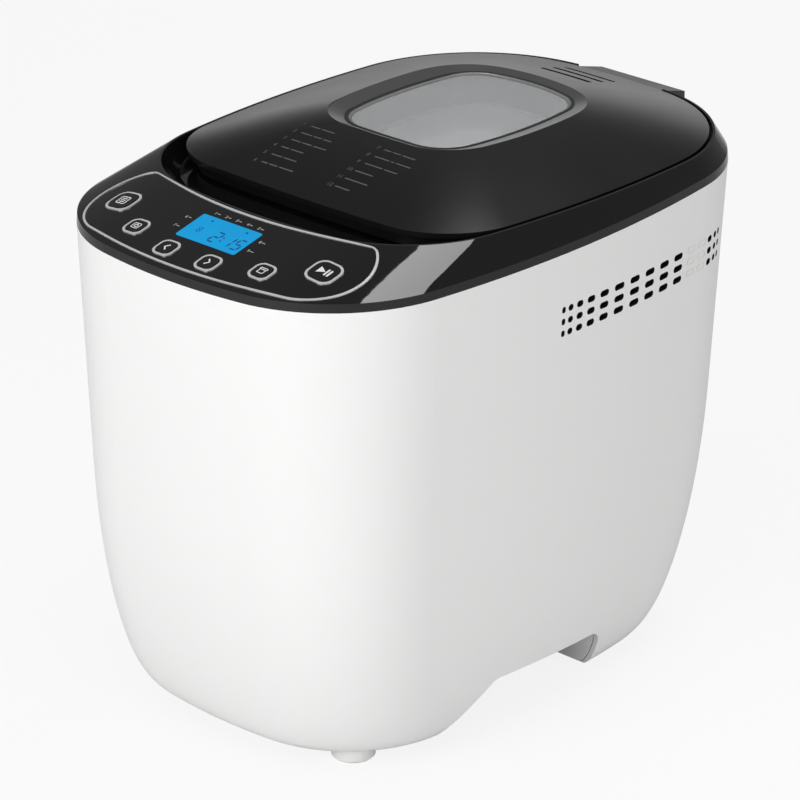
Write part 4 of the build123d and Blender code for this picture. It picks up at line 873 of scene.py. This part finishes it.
class BREADMACHINE_OT_lid(bpy.types.Operator):
    """Finishes the lid with its window, liner, seal and hinge cover"""

    bl_idname = "bread_machine.lid"
    bl_label = "Lid"

    def execute(self, context):
        dress("lid_cover", "lid_liner", "lid_seal", "window_glass", "window_gasket", "inner_glass",
              "hinge_cover", "lid_screws")
        return {"FINISHED"}


# The list on the lid in millimetres: left edge, distance between columns, first line in front of
# the casing's middle, start of the strokes, gap between them, their width and each line's lengths
LIST_LEFT = -39.0
LIST_COLUMN = 47.5
LIST_FRONT = 31.0
LIST_INDENT = 5.0
LIST_GAP = 1.2
LIST_STROKE = 0.7
LIST_LENGTHS = (
    (6, 8), (7, 5, 5), (6, 6, 8), (5, 8), (7, 8), (4, 5, 9),
    (4, 5, 8), (9, 2, 9), (11, 8), (11,), (14,), (9,),
)

# Where a stroke stands up a number's height, and how light the list is beside the panel's print
LIST_LEVEL = 0.42
LIST_TONE = 0.2

# Strokes longer than this, in millimetres, are cut so that they follow the lid's curve
LIST_LONGEST = 5
LIST_CUTS = 5


class BREADMACHINE_OT_lid_print(bpy.types.Operator):
    """Prints a plain numbered list in two columns on the lid"""

    bl_idname = "bread_machine.lid_print"
    bl_label = "Lid print"

    def execute(self, context):
        sizes = looks().sizes
        low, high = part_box("outer_shell")
        middle = (low.y + high.y) / 2 / MM
        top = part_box("lid_cover")[1].z
        pitch = sizes.line_pitch / MM
        height = sizes.number / MM
        drawing = bmesh.new()
        for index in range(2 * sizes.lines):
            column, line = divmod(index, sizes.lines)
            x = LIST_LEFT + column * LIST_COLUMN
            y = middle - LIST_FRONT - line * pitch
            number_drawing(drawing, str(index + 1), height, (x, y))
            start = x + LIST_INDENT
            for length in LIST_LENGTHS[index % len(LIST_LENGTHS)]:
                spot = (start + length / 2, y + height * LIST_LEVEL)
                bar(drawing, spot, (length, LIST_STROKE))
                start += length + LIST_GAP
        long = [edge for edge in drawing.edges if edge.calc_length() > LIST_LONGEST]
        bmesh.ops.subdivide_edges(drawing, edges=long, cuts=LIST_CUTS)
        material = ink_material("lid_ink", [value * LIST_TONE for value in looks().colours.print])
        place = Matrix.Translation((0, 0, top)) @ Matrix.Scale(MM, 4)
        lay(drawing, "lid_list", place, "lid_cover", Vector((0, 0, 1)), "lid", material)
        return {"FINISHED"}


class BREADMACHINE_OT_oven(bpy.types.Operator):
    """Finishes the oven chamber and its heater"""

    bl_idname = "bread_machine.oven"
    bl_label = "Oven"

    def execute(self, context):
        dress("oven_chamber", "chamber_screws", "chamber_spacers", "heating_element",
              "heater_bushings", "heater_clips", "temperature_sensor", "pan_seat")
        return {"FINISHED"}


class BREADMACHINE_OT_drive(bpy.types.Operator):
    """Finishes the motor, belt drive and power board"""

    bl_idname = "bread_machine.drive"
    bl_label = "Drive"

    def execute(self, context):
        dress("drive_bracket", "drive_bearing", "drive_shaft", "drive_coupler", "drive_pulley",
              "shaft_clip", "drive_belt", "motor_can", "motor_stator", "motor_rotor", "motor_shaft",
              "motor_pulley", "motor_screws", "power_board", "power_components", "board_standoffs")
        return {"FINISHED"}


class BREADMACHINE_OT_pan(bpy.types.Operator):
    """Finishes the bread pan with its bail, coupling and paddle"""

    bl_idname = "bread_machine.pan"
    bl_label = "Bread pan"

    def execute(self, context):
        dress("bread_pan", "pan_base", "pan_bush", "pan_handle", "pan_shaft", "wing_coupling",
              "kneading_paddle")
        return {"FINISHED"}


def seen_directly(tree):
    """Mask of camera and glass rays, for a background that is white wherever it is seen."""
    rays = tree.nodes.new("ShaderNodeLightPath").outputs
    return math_node(tree, "MAXIMUM", rays["Is Camera Ray"], rays["Is Transmission Ray"])


# The floor: its size in metres, its grey, and the share of plain white in what is seen of it
FLOOR_SIZE = 4.0
FLOOR_GREY = (0.75, 0.75, 0.75, 1)
FLOOR_GLOW = 0.86


def floor_material():
    """White floor that keeps a faint shadow."""
    material = bpy.data.materials.new("studio_floor")
    material.use_nodes = True
    tree = material.node_tree
    tree.nodes.clear()
    output = tree.nodes.new("ShaderNodeOutputMaterial")
    plain = tree.nodes.new("ShaderNodeBsdfDiffuse")
    feed(tree, plain.inputs["Color"], FLOOR_GREY)
    glow = tree.nodes.new("ShaderNodeEmission")
    mix = tree.nodes.new("ShaderNodeMixShader")
    share = math_node(tree, "MULTIPLY", seen_directly(tree), FLOOR_GLOW)
    feed(tree, mix.inputs["Fac"], share)
    feed(tree, mix.inputs[1], plain.outputs["BSDF"])
    feed(tree, mix.inputs[2], glow.outputs["Emission"])
    feed(tree, output.inputs["Surface"], mix.outputs["Shader"])
    return material


def aim(holder, place, target):
    """Adds a lamp or camera to the scene, at a place and turned to a target."""
    holder.location = place
    holder.rotation_euler = (target - place).to_track_quat("-Z", "Y").to_euler()
    bpy.context.scene.collection.objects.link(holder)


def lamp(name, place, target, size, power):
    """A large soft lamp aimed at a point."""
    data = bpy.data.lights.new(name, "AREA")
    data.shape = "RECTANGLE"
    data.size, data.size_y = size
    data.energy = power
    aim(bpy.data.objects.new(name, data), Vector(place), Vector(target))


class BREADMACHINE_OT_studio(bpy.types.Operator):
    """Sets up floor, backdrop light, lamps and camera"""

    bl_idname = "bread_machine.studio"
    bl_label = "Studio"

    def execute(self, context):
        stage = looks().stage
        scene = context.scene
        scene.view_settings.view_transform = "Standard"
        drawing = bmesh.new()
        bmesh.ops.create_grid(drawing, x_segments=1, y_segments=1, size=FLOOR_SIZE)
        data = bpy.data.meshes.new("floor")
        drawing.to_mesh(data)
        drawing.free()
        data.materials.append(floor_material())
        floor = bpy.data.objects.new("floor", data)
        scene.collection.objects.link(floor)
        self.light_world(scene, stage)
        lamp("key_lamp", (0.0, -1.9, 0.9), (0, 0, 0.14), (1.4, 1.2), stage.key)
        lamp("side_lamp", (1.9, -0.2, 0.7), (0, 0, 0.14), (1.0, 1.2), stage.side)
        lamp("back_lamp", (-0.85, 1.3, 0.45), (0, 0, 0.3), (1.5, 0.5), stage.back)
        lamp("strip_lamp", (0.01, 0.42, 1.375), (0.09, -0.1, 0.25), (0.6, 0.35), stage.strip)
        lamp("top_lamp", (0.35, -0.35, 1.3), (0.05, -0.1, 0.25), (0.5, 0.4), stage.top)
        data = bpy.data.cameras.new("photo_camera")
        data.lens = stage.lens
        data.sensor_width = 36.0
        data.clip_end = 20.0
        camera = bpy.data.objects.new("photo_camera", data)
        aim(camera, CAMERA_PLACE, CAMERA_TARGET)
        scene.camera = camera
        return {"FINISHED"}

    def light_world(self, scene, stage):
        """Even light from all round that is seen as plain white and mirrored as a dimmer grey."""
        world = bpy.data.worlds.new("studio")
        scene.world = world
        world.use_nodes = True
        tree = world.node_tree
        tree.nodes.clear()
        output = tree.nodes.new("ShaderNodeOutputWorld")
        light = tree.nodes.new("ShaderNodeBackground")
        feed(tree, light.inputs["Color"], (1, 1, 1, 1))
        glossy = tree.nodes.new("ShaderNodeLightPath").outputs["Is Glossy Ray"]
        level = math_node(tree, "MULTIPLY", glossy, stage.mirrored - stage.ambient)
        level = math_node(tree, "ADD", level, stage.ambient)
        level = math_node(tree, "MAXIMUM", level, seen_directly(tree))
        feed(tree, light.inputs["Strength"], level)
        feed(tree, output.inputs["Surface"], light.outputs["Background"])


OPERATORS = (
    BREADMACHINE_OT_casing,
    BREADMACHINE_OT_top_frame,
    BREADMACHINE_OT_display,
    BREADMACHINE_OT_icons,
    BREADMACHINE_OT_panel_print,
    BREADMACHINE_OT_lid,
    BREADMACHINE_OT_lid_print,
    BREADMACHINE_OT_oven,
    BREADMACHINE_OT_drive,
    BREADMACHINE_OT_pan,
    BREADMACHINE_OT_studio,
)


class BREADMACHINE_PT_looks(bpy.types.Panel):
    """Lists the bread machine's operators and values"""

    bl_idname = "BREADMACHINE_PT_looks"
    bl_label = "Bread machine"
    bl_space_type = "VIEW_3D"
    bl_region_type = "UI"
    bl_category = "Bread machine"

    def draw(self, context):
        for operator in OPERATORS:
            self.layout.operator(operator.bl_idname)
        settings = context.scene.bread_machine_looks
        for group in (settings.colours, settings.sizes, settings.stage):
            box = self.layout.box()
            for name in group.__annotations__:
                box.prop(group, name)


CLASSES = (
    BreadMachineColours,
    BreadMachineSizes,
    BreadMachineStage,
    BreadMachineLooks,
    *OPERATORS,
    BREADMACHINE_PT_looks,
)


def register():
    for cls in CLASSES:
        bpy.utils.register_class(cls)
    bpy.types.Scene.bread_machine_looks = PointerProperty(type=BreadMachineLooks)


def unregister():
    del bpy.types.Scene.bread_machine_looks
    for cls in reversed(CLASSES):
        bpy.utils.unregister_class(cls)


def main():
    register()
    bpy.ops.bread_machine.studio()
    bpy.ops.bread_machine.casing()
    bpy.ops.bread_machine.top_frame()
    bpy.ops.bread_machine.display()
    bpy.ops.bread_machine.icons()
    bpy.ops.bread_machine.panel_print()
    bpy.ops.bread_machine.lid()
    bpy.ops.bread_machine.lid_print()
    bpy.ops.bread_machine.oven()
    bpy.ops.bread_machine.drive()
    bpy.ops.bread_machine.pan()


if __name__ == "__main__":
    main()
